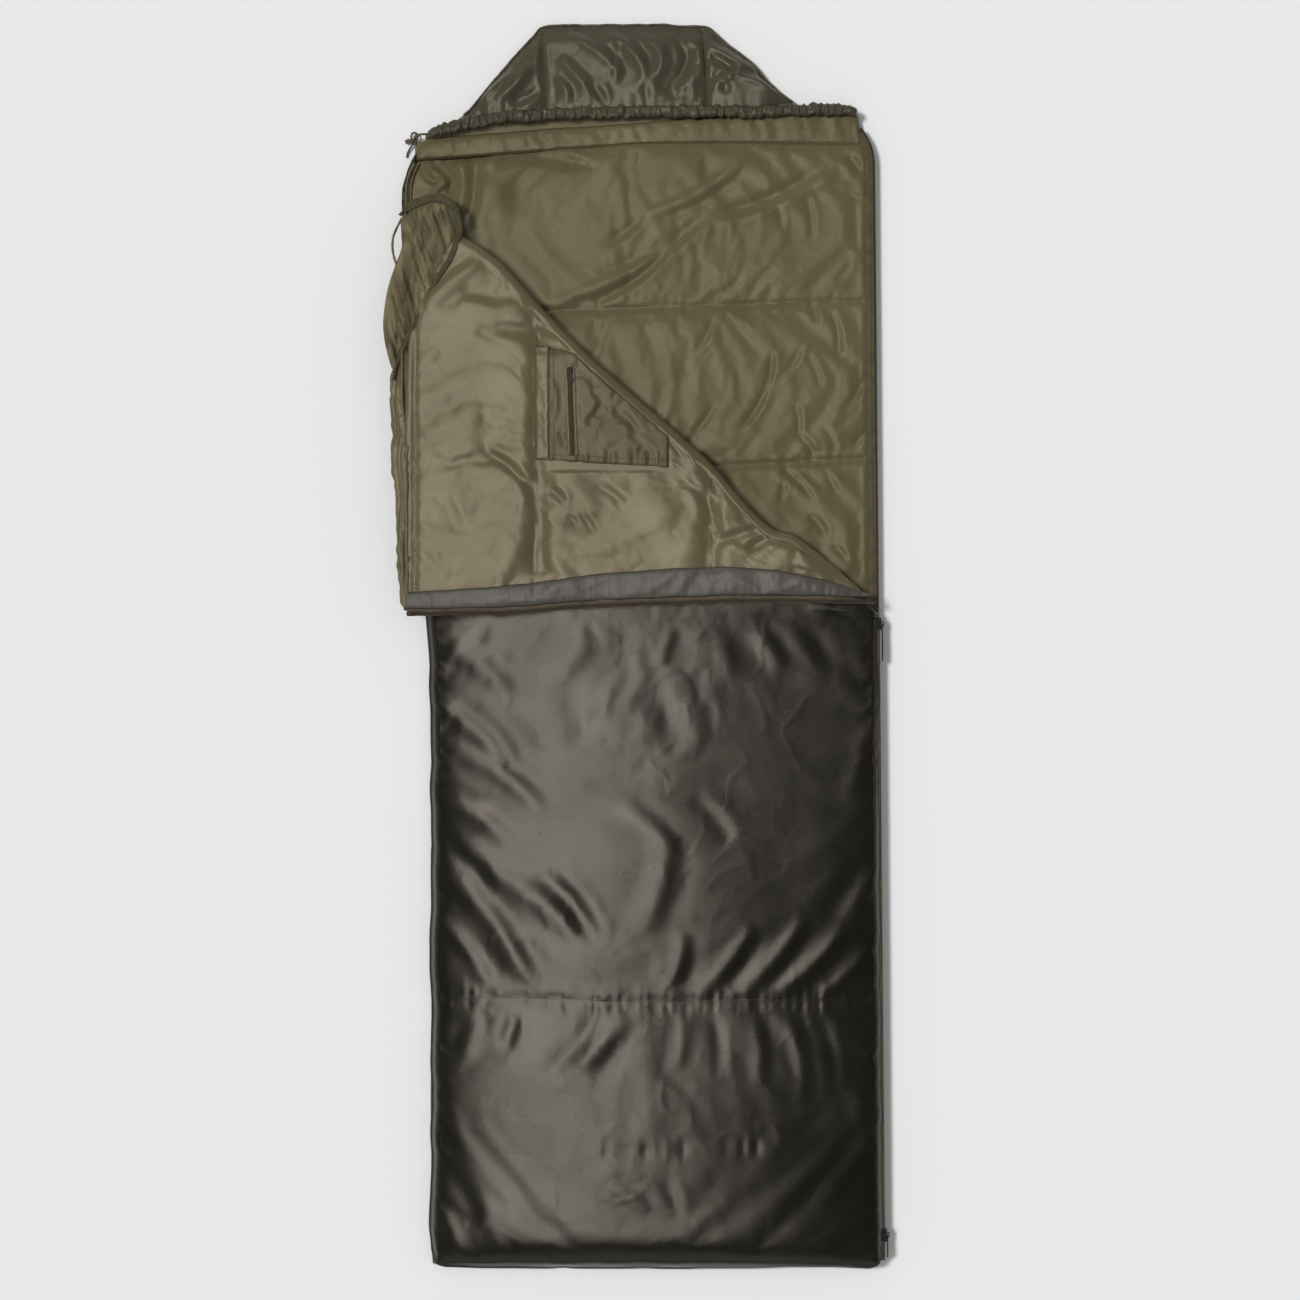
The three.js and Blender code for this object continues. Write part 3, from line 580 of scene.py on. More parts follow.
def sweep(
    name, path, half_width, half_height, material, body, around=16, gather=0.0, size=9.0, seed=0, bundle=0.0
):
    """A closed tube of flattened section along a path, with gathers across it and bundles along it."""
    count = len(path)
    width = np.broadcast_to(half_width, count)
    tall = np.broadcast_to(half_height, count)
    _, side, up = along_path(path)
    s = np.concatenate([[0], np.cumsum(steps(path))])
    vertices = []
    for k in range(count):
        for j in range(around):
            a = 2 * math.pi * j / around
            pleat = noise.noise(Vector((s[k] / size, 0.6 * math.cos(a) + seed, 0.6 * math.sin(a))))
            long = noise.noise(Vector((s[k] / 90, 2.6 * math.cos(a) + seed, 2.6 * math.sin(a) + s[k] / 150)))
            swell = 1 + gather * pleat + bundle * long
            offset = side[k] * width[k] * math.cos(a) * (0.5 + 0.5 * swell)
            vertices.append(path[k] + offset + up[k] * tall[k] * math.sin(a) * swell)
    index = np.arange(count * around).reshape(count, around)
    shifted = np.roll(index, -1, axis=1)
    body_faces = np.stack([index[:-1], index[1:], shifted[1:], shifted[:-1]], axis=-1).reshape(-1, 4)
    faces = [*body_faces, index[0], index[-1][::-1]]
    return new_mesh(name, vertices, faces, material, body)


def row_along(path, pitch):
    """Evenly spaced places on a path, with the directions along, to the side and above at each."""
    places = curve_through(path, max(3, round(steps(path).sum() / pitch)))
    return zip(places, *along_path(places))


STITCH_LENGTH = 3.4
STITCH_ENDS = ((-1, 0, 0), (0, 1, 0), (0, 0, 1), (0, -1, 0), (0, 0, -1), (1, 0, 0))
COIL_TURN = ((0, -0.5), (0.7, -0.42), (1, 0), (0.7, 0.42), (0, 0.5))


def stitches(name, path, body, pitch=5.0, radius=0.55):
    """A row of short threads along a path."""
    vertices, faces = [], []
    for place, ahead, side, up in row_along(path, pitch):
        start = len(vertices)
        for along, out, high in STITCH_ENDS:
            offset = ahead * along * STITCH_LENGTH / 2 + side * out * radius + up * high * radius
            vertices.append(place + offset)
        for j in range(4):
            a, b = start + 1 + j, start + 1 + (j + 1) % 4
            faces.extend([(start, b, a), (start + 5, a, b)])
    return new_mesh(name, vertices, faces, "thread", body)


def teeth(name, path, body, side_sign, pitch=2.6, reach=4.6, thick=1.5, height=2.6):
    """The coil of a zip: a row of small rounded turns across the edge of a tape."""
    vertices, faces = [], []
    n = len(COIL_TURN)
    for place, ahead, side, up in row_along(path, pitch):
        start = len(vertices)
        for half in (-0.5, 0.5):
            for out, high in COIL_TURN:
                offset = ahead * half * thick + side * side_sign * out * reach + up * high * height
                vertices.append(place + offset)
        faces.append([start + j for j in range(n)])
        faces.append([start + n + j for j in reversed(range(n))])
        for j in range(n):
            a, b = start + j, start + (j + 1) % n
            faces.append((b, a, a + n, b + n))
    return new_mesh(name, vertices, faces, "coil", body)


def blurred(field, cells):
    """A field smoothed over this many cells both ways."""
    reach = int(3 * cells)
    kernel = np.exp(-0.5 * (np.arange(-reach, reach + 1) / cells) ** 2)
    kernel /= kernel.sum()
    for axis in (0, 1):
        wide = [(reach, reach) if k == axis else (0, 0) for k in (0, 1)]
        padded = np.pad(field, wide, "symmetric")
        field = np.apply_along_axis(lambda line: np.convolve(line, kernel, "valid"), axis, padded)
    return field


CLOTH = dict(
    quality=5, mass=0.12, tension_stiffness=12, compression_stiffness=12, shear_stiffness=4,
    tension_damping=5, compression_damping=5, air_damping=8.0, vertex_group_mass="held", pin_stiffness=1,
    use_pressure=True, pressure_factor=0,
)


def inflate(grid, pinned, keep, pressure=0.5, growth=0.012, frames=14, bending=0.6, swell=0.05, calm=6.0):
    """The grid after a cloth simulation: pinned points stay, the cloth grows and is blown up from below.
    Of what this changes, a share is kept: the wrinkles, and a little of the slow swell that lifts them."""
    rows, cols, _ = grid.shape
    data = bpy.data.meshes.new("cloth")
    data.from_pydata((grid.reshape(-1, 3) * MM).tolist(), [], grid_faces(rows, cols).tolist())
    cloth = bpy.data.objects.new("cloth", data)
    bpy.context.collection.objects.link(cloth)
    group = cloth.vertex_groups.new(name="held")
    group.add(np.flatnonzero(pinned).tolist(), 1.0, "REPLACE")
    modifier = cloth.modifiers.new("Cloth", "CLOTH")
    settings = modifier.settings
    for key, value in CLOTH.items():
        setattr(settings, key, value)
    settings.bending_stiffness = bending
    settings.uniform_pressure_force = pressure
    settings.shrink_min = -growth
    settings.effector_weights.gravity = 0
    modifier.collision_settings.use_collision = False
    modifier.point_cache.frame_start, modifier.point_cache.frame_end = 1, frames
    for step in range(1, frames + 1):
        bpy.context.scene.frame_set(step)
    shaped = cloth.evaluated_get(bpy.context.evaluated_depsgraph_get()).data
    out = np.empty(rows * cols * 3, np.float32)
    shaped.vertices.foreach_get("co", out)
    out = out.reshape(rows, cols, 3).astype(float) / MM
    bpy.data.objects.remove(cloth)
    bpy.data.meshes.remove(data)
    bpy.context.scene.frame_set(1)
    lift = out[..., 2] - grid[..., 2]
    slow = blurred(lift, calm)
    free = blurred((pinned < 1).astype(float), 1.5)
    out[..., 2] = grid[..., 2] + np.where(pinned == 1, 0, (lift - slow) * free + swell * slow * free)
    return grid + (out - grid) * keep


def under_cap(z, cap, room=4.0):
    """Heights that come near the cap are eased below it."""
    start = cap - room
    return np.where(z > start, start + room * (1 - np.exp(-np.maximum(z - start, 0) / room)), z)


def dome(t, power=2.6):
    """1 in the middle and 0 at t = -1 and 1, steep at the ends."""
    return (1 - np.abs(np.clip(t, -1, 1)) ** power) ** (1 / power)


def step_up(t):
    t = np.clip(t, 0, 1)
    return t * t * (3 - 2 * t)


# ---------------------------------------------------------------- front panel, closed lower part
FRONT_EDGE_IN = 1  # the panel ends this far from the zip line
FRONT_CROWN = 20  # the middle stands this far above the plain solid
UNDER_FLAP_Y = 127  # above this the front panel lies under the folded corner
UNDER_FLAP_Z = FRONT_TOP_Z - 0.9
FRONT_TOP_Y = 790
FADE_Y = -430  # the crown sinks from here to the folded corner
FRONT_CELL, FRONT_COLS = 8.0, 93
FRONT_CORNER = 26  # radius of the corners at the foot
FRONT_LEFT_Z, FRONT_RIGHT_RISE = 15, 12  # height of the left edge, and how much higher the right edge is
FRONT_FOOT_ROUND = 75  # the panel falls to the foot over this length
FRONT_WRINKLES = 0.16  # share of the simulated wrinkles that is kept
FRONT_TAIL_ROWS = 44  # rows that go on below the folded corner

FRONT_FOLD_SIZE = (1.25, 0.46)  # the widths and heights below times these
FRONT_FOLDS = [
    # long folds from the left side
    (-350, 84, -232, -12, 15, 5), (-366, -18, -244, -120, 13, 6), (-340, -90, -180, -196, 14, 6),
    (-372, -176, -232, -244, 13, 5), (-362, -250, -262, -330, 12, -4), (-356, -296, -205, -478, 15, 6.5),
    (-366, -372, -272, -486, 12, 5), (-284, -290, -126, -396, 16, 5.5), (-196, -290, -92, -418, 14, -5),
    (-300, -20, -196, -110, 20, 4), (-160, 20, -110, -90, 26, -4),
    # middle
    (22, -222, -24, -400, 17, 5), (46, -390, 26, -486, 11, 4), (-10, 10, 44, -100, 18, -3.6),
    (-60, -180, 34, -262, 12, 2.6), (60, -170, 130, -250, 12, -2.6), (28, 118, 2, 46, 9, 2.2),
    (-104, 104, -160, 30, 16, 3), (96, 96, 120, 10, 18, 2), (170, 110, 210, 30, 12, 2),
    (250, 112, 300, 20, 12, -2),
    # right fan above the cross seam
    (164, -380, 70, -494, 11, 4.5), (252, -360, 138, -496, 12, 5), (318, -380, 204, -494, 11, 5),
    (366, -410, 280, -492, 10, 4), (346, -250, 276, -370, 18, -4), (352, -40, 318, -180, 14, 4),
    # below the cross seam
    (-48, -523, -128, -618, 15, 5), (-96, -520, -180, -630, 13, -3.5), (40, -522, 38, -620, 10, 2.2),
    (92, -520, 104, -640, 10, -2), (160, -520, 172, -650, 10, 2.4), (216, -522, 246, -680, 10, 2.8),
    (268, -522, 300, -660, 9, -2), (-300, -520, -322, -600, 12, 3), (-236, -520, -250, -590, 10, -3),
    (-366, -770, -292, -880, 14, -5), (-370, -850, -322, -930, 12, 4), (330, -640, 350, -760, 14, 3),
    (-80, -812, -10, -856, 10, 2.2), (12, -800, 40, -866, 9, -2),
]
PUCKER_ROWS = [(-95, 65, -752), (105, 185, -748)]  # faint rows of puckers: from x, to x, at y


def fold_y(x, inset=0.0):
    """Height of the fold line at a given x, moved towards the foot by inset."""
    slope = FOLD_DIR[1] / FOLD_DIR[0]
    return FOLD_POINT[1] + slope * (np.asarray(x, float) - FOLD_POINT[0]) - inset / abs(FOLD_DIR[0])


def cross_seam_y(x):
    """The seam between the two front pieces sags in the middle."""
    return SEAM_Y + 9 - 12 * np.cos(np.asarray(x, float) / 420) ** 2 + 3 * wobble(x, 70, 12)


def front_grid():
    """Places of the front panel's grid, its columns' shares of the width, and the row of the cross seam."""
    lower = np.linspace(0, 1, round((SEAM_Y - FOOT_Y) / FRONT_CELL) + 1)
    upper = np.linspace(0, 1, round((UNDER_FLAP_Y - SEAM_Y) / FRONT_CELL) + 1)[1:]
    s = np.linspace(0, 1, FRONT_COLS)
    level = np.concatenate([FOOT_Y + (SEAM_Y - FOOT_Y) * lower, SEAM_Y + (UNDER_FLAP_Y - SEAM_Y) * upper])
    yy = np.repeat(level[:, None], FRONT_COLS, axis=1)
    left = left_x(level) + 4 * wobble(level, 55, 1) + 2.5
    right = zip_x(level) - FRONT_EDGE_IN + 2.0 * wobble(level, 40, 2)
    xx = left[:, None] + (right - left)[:, None] * s[None, :]
    seam_lift = cross_seam_y(xx[0]) - SEAM_Y
    near = np.clip(1 - np.abs(yy - SEAM_Y) / 180, 0, 1)
    yy = yy + seam_lift[None, :] * near
    for side in (xx - left[:, None], right[:, None] - xx):
        over = np.clip(FRONT_CORNER - side, 0, FRONT_CORNER)
        rise = FRONT_CORNER - np.sqrt(np.maximum(FRONT_CORNER**2 - over**2, 0))
        yy = yy + rise * np.clip(1 - (yy - FOOT_Y) / 120, 0, 1)
    yy = yy + (5 * wobble(xx, 80, 3) + 3) * np.clip(1 - (yy - FOOT_Y) / 150, 0, 1)
    return xx, yy, s, len(lower) - 1


def front_plain(yy, s, seam_row):
    """Heights of the front panel without its wrinkles."""
    across = 2 * s - 1
    side_fall = (0.72 * dome(across, 4.0) + 0.28 * (1 - across**2))[None, :]
    foot_fall = dome(np.clip(1 - (yy - FOOT_Y) / FRONT_FOOT_ROUND, 0, 1), 2.6)
    edge_z = FRONT_LEFT_Z + FRONT_RIGHT_RISE * s[None, :] ** 3
    fade = step_up(step_up((yy - FADE_Y) / (UNDER_FLAP_Y - FADE_Y)))
    swell = FRONT_CROWN * (1 - fade)
    crown = FRONT_TOP_Z - 1.5 + swell
    zz = edge_z + (crown - edge_z) * np.minimum(side_fall, 1) * foot_fall
    off = np.abs(yy - yy[seam_row])
    return zz - (1.4 * bell(off / 9) + 4.5 * bell(off / 85)) * side_fall


def front_surface():
    """The front panel up to the folded corner, and the row of its cross seam."""
    xx, yy, s, seam_row = front_grid()
    pins = held_edges(xx.shape)
    pins[seam_row, :] = 1
    plain = np.dstack([xx, yy, front_plain(yy, s, seam_row)])
    fine = refine(inflate(plain, pins, FRONT_WRINKLES, frames=16, bending=0.9, calm=5.0))
    seam_row = 2 * seam_row
    x, y, z = fine[..., 0], fine[..., 1], fine[..., 2]
    inner = np.minimum(1, dome(np.linspace(-1, 1, fine.shape[1]), 5))[None, :]
    under = 1 - step_up((y - 104) / 24)
    wider, lower = FRONT_FOLD_SIZE
    strokes = [(*place, width * wider, height * lower) for *place, width, height in FRONT_FOLDS]
    z = z + folds(x, y, strokes) * inner * under
    uneven = 2.0 * rough(x, y, 260, 4, 2) + 0.3 * creases(x, y, 90, 5) + 0.15 * rough(x, y, 42, 7)
    z = z + uneven * inner * under
    # tucks along both sides, puckers at the cross seam, and two faint rows of puckers
    beside = np.minimum(x - x[:, :1], x[:, -1:] - x)
    tuck = bell(beside / 20) * (1 - bell(beside / 4))
    z = z + tuck * (2.6 * wobble(y + 0.6 * beside, 15, 10) + 1.2 * wobble(y, 42, 11)) * under
    off = y - y[seam_row]
    z = z + 1.3 * bell(off / 16) * wobble(x, 9, 6) * inner * (1 - bell(off / 4))
    for start, end, level in PUCKER_ROWS:
        here = bell((y - level) / 15) * step_up((x - start) / 20) * step_up((end - x) / 20)
        z = z + here * (-0.5 + 1.1 * wobble(x, 13, 9))
    z = np.minimum(z, UNDER_FLAP_Z + np.clip(UNDER_FLAP_Y - 6 - y, 0, 400) * 0.45)
    return np.dstack([x, y, z]), seam_row


def front_tail(last):
    """The rows that carry the front panel on, nearly flat, below the folded corner."""
    edge = height_line(on_flap(FOLD_EDGE))
    goal = np.minimum(np.minimum(fold_y(last[:, 0], 12), edge(last[:, 0]) - 14), FRONT_TOP_Y)
    goal = np.maximum(goal, last[:, 1] + 6)
    extra = np.empty((FRONT_TAIL_ROWS, *last.shape))
    for k, t in enumerate(np.linspace(0, 1, FRONT_TAIL_ROWS + 1)[1:]):
        level = last[:, 1] + (goal - last[:, 1]) * t
        share = (last[:, 0] - last[0, 0]) / (last[-1, 0] - last[0, 0])
        low, high = left_x(level) + 2.5, zip_x(level) - FRONT_EDGE_IN
        extra[k, :, 0] = low + (high - low) * share
        extra[k, :, 1] = level
        extra[k, :, 2] = last[:, 2] + (UNDER_FLAP_Z - last[:, 2]) * step_up(t * 4) * dome(2 * share - 1, 5)
    return extra


def make_front():
    fine, seam_row = front_surface()
    fine = np.concatenate([fine, front_tail(fine[-1])])
    sunk = -0.6 - 0.6 * rough(fine[..., 0], fine[..., 1], 40, 8)
    fine[..., 2] += np.where(fine[..., 1] > UNDER_FLAP_Y, sunk, 0)
    bottom = at_height(fine, np.minimum(FRONT_LINING_Z, fine[:, :, 2] - 4))
    piece = closed_pad("front_panel", fine, bottom, ["shell", "lining"], "bag")
    nodes = ["front_shell_upper", "front_shell_foot", "front_insulation", "front_lining"]
    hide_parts(*nodes, "side_wall", "foot_wall")
    x, y = fine[seam_row, 4:-4, 0], fine[seam_row, 4:-4, 1] + 3.0
    stitches("stitch_cross_seam", Ground(fine).line(x, y, FRONT_TOP_Z, 0.3), "bag")


# ---------------------------------------------------------------- back panel, neck and sides
QUILT_Z = 12.5
CREST_Z = 23
QUILT_LINES = [((-185, 640), (362, 658)), ((82, 380), (368, 395))]
HIDDEN_TOP_Y = 100
LINING_ZIP_GAP = 12
BACK_COLS = 96
BACK_LEFT_Z = 9.0  # height of the left edge
BACK_LOW_Z, NECK_LOW_Z = 0.6, 0.8  # undersides, just above the floor
BACK_CAP_Z, HIDDEN_CAP_Z = CREST_Z + 3.9, 22  # upper limits, the second below the front panel
NECK_Z, NECK_CROWN = 13.5, 6.0
NECK_COLS, NECK_ROWS = 150, 15
BACK_WRINKLES = 0.55
CORNER, CORNER_DIP = (-372, 862), 6  # the crumpled corner beside the net lies lower

BACK_FOLDS = [
    (283, 882, 90, 800, 12, -6), (90, 805, -95, 700, 12, -5.5), (150, 892, -20, 800, 10, 5),
    (45, 772, -180, 650, 10, 5), (20, 740, -105, 655, 8, -4.5), (-20, 800, -95, 748, 9, -3.5),
    (98, 629, 63, 568, 6, -2.5), (195, 575, 186, 515, 5.5, -3.7), (188, 520, 143, 444, 6, -3.7),
    (249, 589, 204, 523, 5.5, -2.2), (259, 654, 272, 618, 6, -3.7), (296, 640, 307, 560, 6, -3.4),
    (251, 571, 278, 512, 6, -2.5), (362, 555, 310, 470, 6, -2.8), (235, 486, 239, 433, 5.5, -3.4),
    (238, 436, 267, 401, 5.5, -2.8), (278, 454, 304, 401, 5.5, -2.2), (360, 460, 330, 412, 5.5, -2.5),
    (211, 378, 267, 322, 6, -3.7), (283, 375, 304, 333, 5.5, -2.2), (256, 302, 288, 264, 7, -2.8),
    (296, 250, 325, 221, 5.5, -3.1), (100, 489, 63, 436, 6, -2.2), (214, 359, 209, 322, 5.5, -1.9),
    (251, 835, 262, 758, 6, -2.5), (272, 848, 362, 817, 6, -3.1), (204, 816, 212, 774, 5.5, -2.2),
    (-160, 893, -93, 877, 7, -2.2), (-268, 900, -110, 878, 13, -5), (150, 700, 90, 660, 7, -1.9),
    (330, 730, 300, 690, 7, -1.9), (-300, 860, -240, 770, 26, 3.5), (40, 560, -20, 520, 20, 2.5),
    (320, 900, 352, 862, 8, -5), (300, 884, 318, 866, 6, -2.2),
]
CORNER_RIDGES = [  # points, width and height
    ([(-392, 892), (-383, 872), (-370, 858), (-354, 856), (-366, 838), (-357, 822)], 5.5, 10),
    ([(-384, 900), (-374, 878), (-360, 868), (-346, 858), (-352, 840), (-340, 820)], 5.5, 9),
    ([(-340, 902), (-322, 880), (-320, 850), (-324, 800)], 13, 8),
    ([(-300, 908), (-330, 896), (-352, 884), (-356, 870)], 10, -9),
    ([(-250, 914), (-290, 902), (-318, 892)], 10, -7),
    ([(-300, 860), (-306, 820), (-316, 776)], 12, -4),
]


def quilt_y(line, x):
    (x0, y0), (x1, y1) = line
    return y0 + (np.asarray(x, float) - x0) * (y1 - y0) / (x1 - x0)


def neck_seam_y(x):
    """The seam between the lining and the band under the hood."""
    return np.minimum(neck_y(x) - 16, 924 - 0.00006 * (np.asarray(x, float) - 100) ** 2)


def press(piece):
    """The folded corner lies on this piece once it is closed. Here the piece only gets a mesh of its own."""
    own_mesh(piece)


def back_grid():
    """Places of the back panel's grid, and the rows where its hidden part, quilts and neck seam are."""
    mid = np.linspace(BACK_LOW[0] + 3, ZIP_X - LINING_ZIP_GAP - 3, BACK_COLS)
    curves = [
        (np.full(BACK_COLS, float(HIDDEN_TOP_Y)), 26),
        (quilt_y(QUILT_LINES[1], mid), 35),
        (quilt_y(QUILT_LINES[0], mid), 33),
        (neck_seam_y(mid), 35),
    ]
    low = np.full(BACK_COLS, FOOT_Y + 4.0)
    parts = [low[None, :]]
    for high, rows in curves:
        t = np.linspace(0, 1, rows + 1)[1:, None]
        parts.append(low[None, :] + (high - low)[None, :] * t)
        low = high
    yy = np.vstack(parts)
    left = left_x(yy) + 4
    left = left + 3 * wobble(yy[:, 0], 40, 20)[:, None] + corner_in(yy)
    right = zip_edge(yy) - LINING_ZIP_GAP
    xx = left + (right - left) * np.linspace(0, 1, BACK_COLS)[None, :]
    return xx, yy, np.cumsum([rows for _, rows in curves])


def back_surface():
    """The surface of the back panel, and the rows of its seams."""
    xx, yy, (hidden_row, *seam_rows) = back_grid()
    s = np.linspace(0, 1, BACK_COLS)
    gap = np.full(yy.shape, 1e6)
    for row in seam_rows:
        gap = np.minimum(gap, np.abs(yy - yy[row][None, :]))
    visible = step_up((yy - HIDDEN_TOP_Y) / 60)
    swell = (CREST_Z - 2 - QUILT_Z) * dome(1 - np.clip(gap / 75, 0, 1), 2.2) * visible
    edges = dome(2 * s - 1, 7)[None, :]
    side_z = np.where(s > 0.5, TAPE_BACK_Z - 1.6, BACK_LEFT_Z)[None, :]  # up to the zip tape on the right
    zz = side_z + (QUILT_Z + swell - side_z) * edges
    zz = zz - CORNER_DIP * bell(np.hypot(xx - CORNER[0], yy - CORNER[1]) / 62)
    pins = held_edges(xx.shape)
    pins[: hidden_row + 2] = 1
    for row in seam_rows:
        pins[row] = 1
    fine = refine(inflate(np.dstack([xx, yy, zz]), pins, BACK_WRINKLES))
    seam_rows = [2 * row for row in seam_rows]
    x, y, z = fine[..., 0], fine[..., 1], fine[..., 2]
    inner = dome(np.linspace(-1, 1, fine.shape[1]), 14)[None, :] * step_up((y - 130) / 40)
    z = z + (folds(x, y, BACK_FOLDS) + 1.6 * rough(x, y, 170, 21, 2) + 0.7 * creases(x, y, 60, 23)) * inner
    z = z + ridges(x, y, CORNER_RIDGES) * inner
    pucker = 0
    for row in seam_rows:
        off = (y - y[row][None, :]) / 13
        pucker = pucker + bell(off) * (1 - bell(off * 3))
    z = z + 2.4 * pucker * wobble(x, 10, 22) * inner
    z = np.maximum(under_cap(z, np.where(y < HIDDEN_TOP_Y + 20, HIDDEN_CAP_Z, BACK_CAP_Z)), 5)
    return np.dstack([x, y, z]), seam_rows


def make_back():
    fine, seam_rows = back_surface()
    bottom = at_height(fine, BACK_LOW_Z)
    piece = closed_pad("back_panel", fine, bottom, ["lining", "shell"], "bag", bulge=3.5, edge_slot=1)
    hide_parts("back_shell", "back_insulation", "back_lining")
    pressed = [piece]
    for number, row in enumerate(seam_rows[:-1]):
        line = fine[row] + [0, 0, 0.4]
        pressed.append(stitches(f"stitch_quilt_{number}", line[line[:, 1] > 0], "bag"))
    for item in pressed:
        press(item)
    return fine[-1]


def make_neck(last):
    """The band that joins the back panel's last row to the hood, and carries the seam at the neck."""
    share = np.linspace(0, 1, NECK_COLS)
    low_x = np.interp(share, np.linspace(0, 1, len(last)), last[:, 0])
    low_y = np.interp(share, np.linspace(0, 1, len(last)), last[:, 1]) - 3
    span = (ZIP_X - 14 - NECK_POINT[0]) / NECK_DIR[0]
    ends = dome(2 * share - 1, 5)
    above = 4 + 12 * ends + 2 * wobble(share * 700, 60, 31)
    high_x, high_y = from_neck(np.linspace(12, span - 20, NECK_COLS), above)
    t = np.linspace(0, 1, NECK_ROWS)[:, None]
    x = low_x[None, :] + (high_x - low_x)[None, :] * t
    y = low_y[None, :] + (high_y - low_y)[None, :] * t
    z = NECK_Z + NECK_CROWN * dome(2 * t - 1, 2.4) + 0 * x
    z = z + 1.6 * wobble(x[0], 17, 32)[None, :] * np.sin(math.pi * t) + 1.2 * rough(x, y, 26, 33)
    z = z + 1.6 * bell(t * 9) * wobble(x[0], 9, 34)[None, :]
    z = z - 5 * (1 - dome(2 * share - 1, 9))[None, :]
    top = refine(np.dstack([x, y, z]))
    low = at_height(top, NECK_LOW_Z)
    piece = closed_pad("neck_band", top, low, ["lining", "shell"], None, bulge=1.5, edge_slot=1)
    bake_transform(piece)
    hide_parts("neck_facing")
    stitches("stitch_neck", np.stack([x[1], y[1], z[1] + 0.6], axis=1), "bag")


# ---------------------------------------------------------------- hood
CROWN = [
    (30, 24), (44, 27), (70, 36), (108, 58), (143, 96), (172, 124), (198, 150), (222, 172), (244, 187),
    (320, 184), (400, 179), (470, 172), (512, 167), (530, 150), (548, 132), (581, 104), (610, 66), (640, 37),
    (660, 26), (700, 20), (752, 15),
]
CHANNEL = [
    (36, 19), (70, 28), (124, 36), (191, 39), (324, 35), (490, 26), (556, 20), (655, 15), (715, 12), (750, 5),
]
CHANNEL_WIDTH = 18
PANEL_ENDS = (104, 235, 504, 642)
HOOD_WRINKLES = {"left": 0.12, "centre": 0.3, "right": 0.08}
CENTRE_RIDGES = [
    ([(-150, 1106), (-118, 1088), (-84, 1062), (-66, 1040), (-72, 1016)], 11, 6.5),
    ([(-78, 1104), (-48, 1082), (-26, 1056), (-20, 1030), (-34, 1002)], 11, 6.5),
    ([(-22, 1104), (6, 1076), (10, 1048), (-4, 1022), (2, 996)], 11, 6),
    ([(30, 1100), (52, 1068), (44, 1036), (30, 1014), (40, 992)], 11, -6),
    ([(72, 1080), (84, 1050), (66, 1020), (70, 994)], 10, 5),
    ([(-160, 1064), (-136, 1036), (-112, 1012), (-96, 990)], 11, 5),
    ([(-168, 1030), (-150, 1010), (-146, 986)], 9, 4),
    ([(-116, 1020), (-92, 1000), (-84, 982)], 8, -4),
]
LEFT_FOLDS = [
    (222, 150, 168, 112, 10, -4), (210, 116, 150, 70, 10, 4), (228, 84, 172, 60, 8, -4),
    (160, 104, 126, 74, 8, 3),
]
RIGHT_FOLDS = [
    (508, 120, 560, 84, 9, -5), (512, 62, 566, 88, 9, 5), (560, 92, 610, 66, 9, -4),
    (552, 80, 632, 44, 8, 4.5), (508, 152, 540, 126, 8, -4), (520, 90, 540, 50, 9, -3),
]
HOOD_PANELS = [("left", LEFT_FOLDS, 17), ("centre", [], 35), ("right", RIGHT_FOLDS, 18)]
HOOD_ROWS = 22
HOOD_TOP_Z = CHANNEL_HIGH[2] - 8  # the panels leave the channel at this height
HOOD_EDGE_Z = 11  # and end at the crown at this one
HOOD_CAP_Z, HOOD_LOW_Z, HOOD_INNER_Z = 43, 10.5, 20.5  # limits of the panels, and the top of their inner side
HOOD_BACK_LOW_Z, HOOD_BACK_Z, HOOD_BACK_CROWN = 0.7, 6, 5  # underside, edges, and rise of the middle
HOOD_BACK_ENDS, HOOD_BACK_GRID = (31, 750), (150, 30)
CHANNEL_ENDS = (36, 750)
CHANNEL_Z = (CHANNEL_LOW[2] + CHANNEL_HIGH[2]) / 2
crown_y, channel_y = height_line(CROWN), height_line(CHANNEL)


def hood_place(x, y, z):
    wx, wy = from_neck(x, y)
    return np.dstack([wx, wy, np.broadcast_to(z, np.shape(wx))])


def make_hood_back():
    cols, rows = HOOD_BACK_GRID
    u = np.linspace(*HOOD_BACK_ENDS, cols)
    top_line = crown_y(u) + 1.2 * wobble(u, 24, 41)
    t = np.linspace(0, 1, rows)[:, None]
    x = np.repeat(u[None, :], rows, axis=0)
    foot_line = np.minimum(12, 3 + 9 * dome(np.linspace(-1, 1, cols), 5))
    y = foot_line[None, :] + (np.maximum(top_line, 16) - foot_line)[None, :] * t
    edge = dome(2 * np.linspace(0, 1, cols) - 1, 10)[None, :]
    z = HOOD_BACK_Z + HOOD_BACK_CROWN * edge * dome(np.clip(t * 2 - 1, 0, 1), 3) + 0.7 * rough(x, y, 40, 42)
    top, low = hood_place(x, y, z), hood_place(x, y, np.full(z.shape, HOOD_BACK_LOW_Z))
    piece = closed_pad("hood_back", top, low, ["lining", "hood"], "hood", bulge=2)
    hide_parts("hood_back_shell", "hood_insulation", "hood_lining")


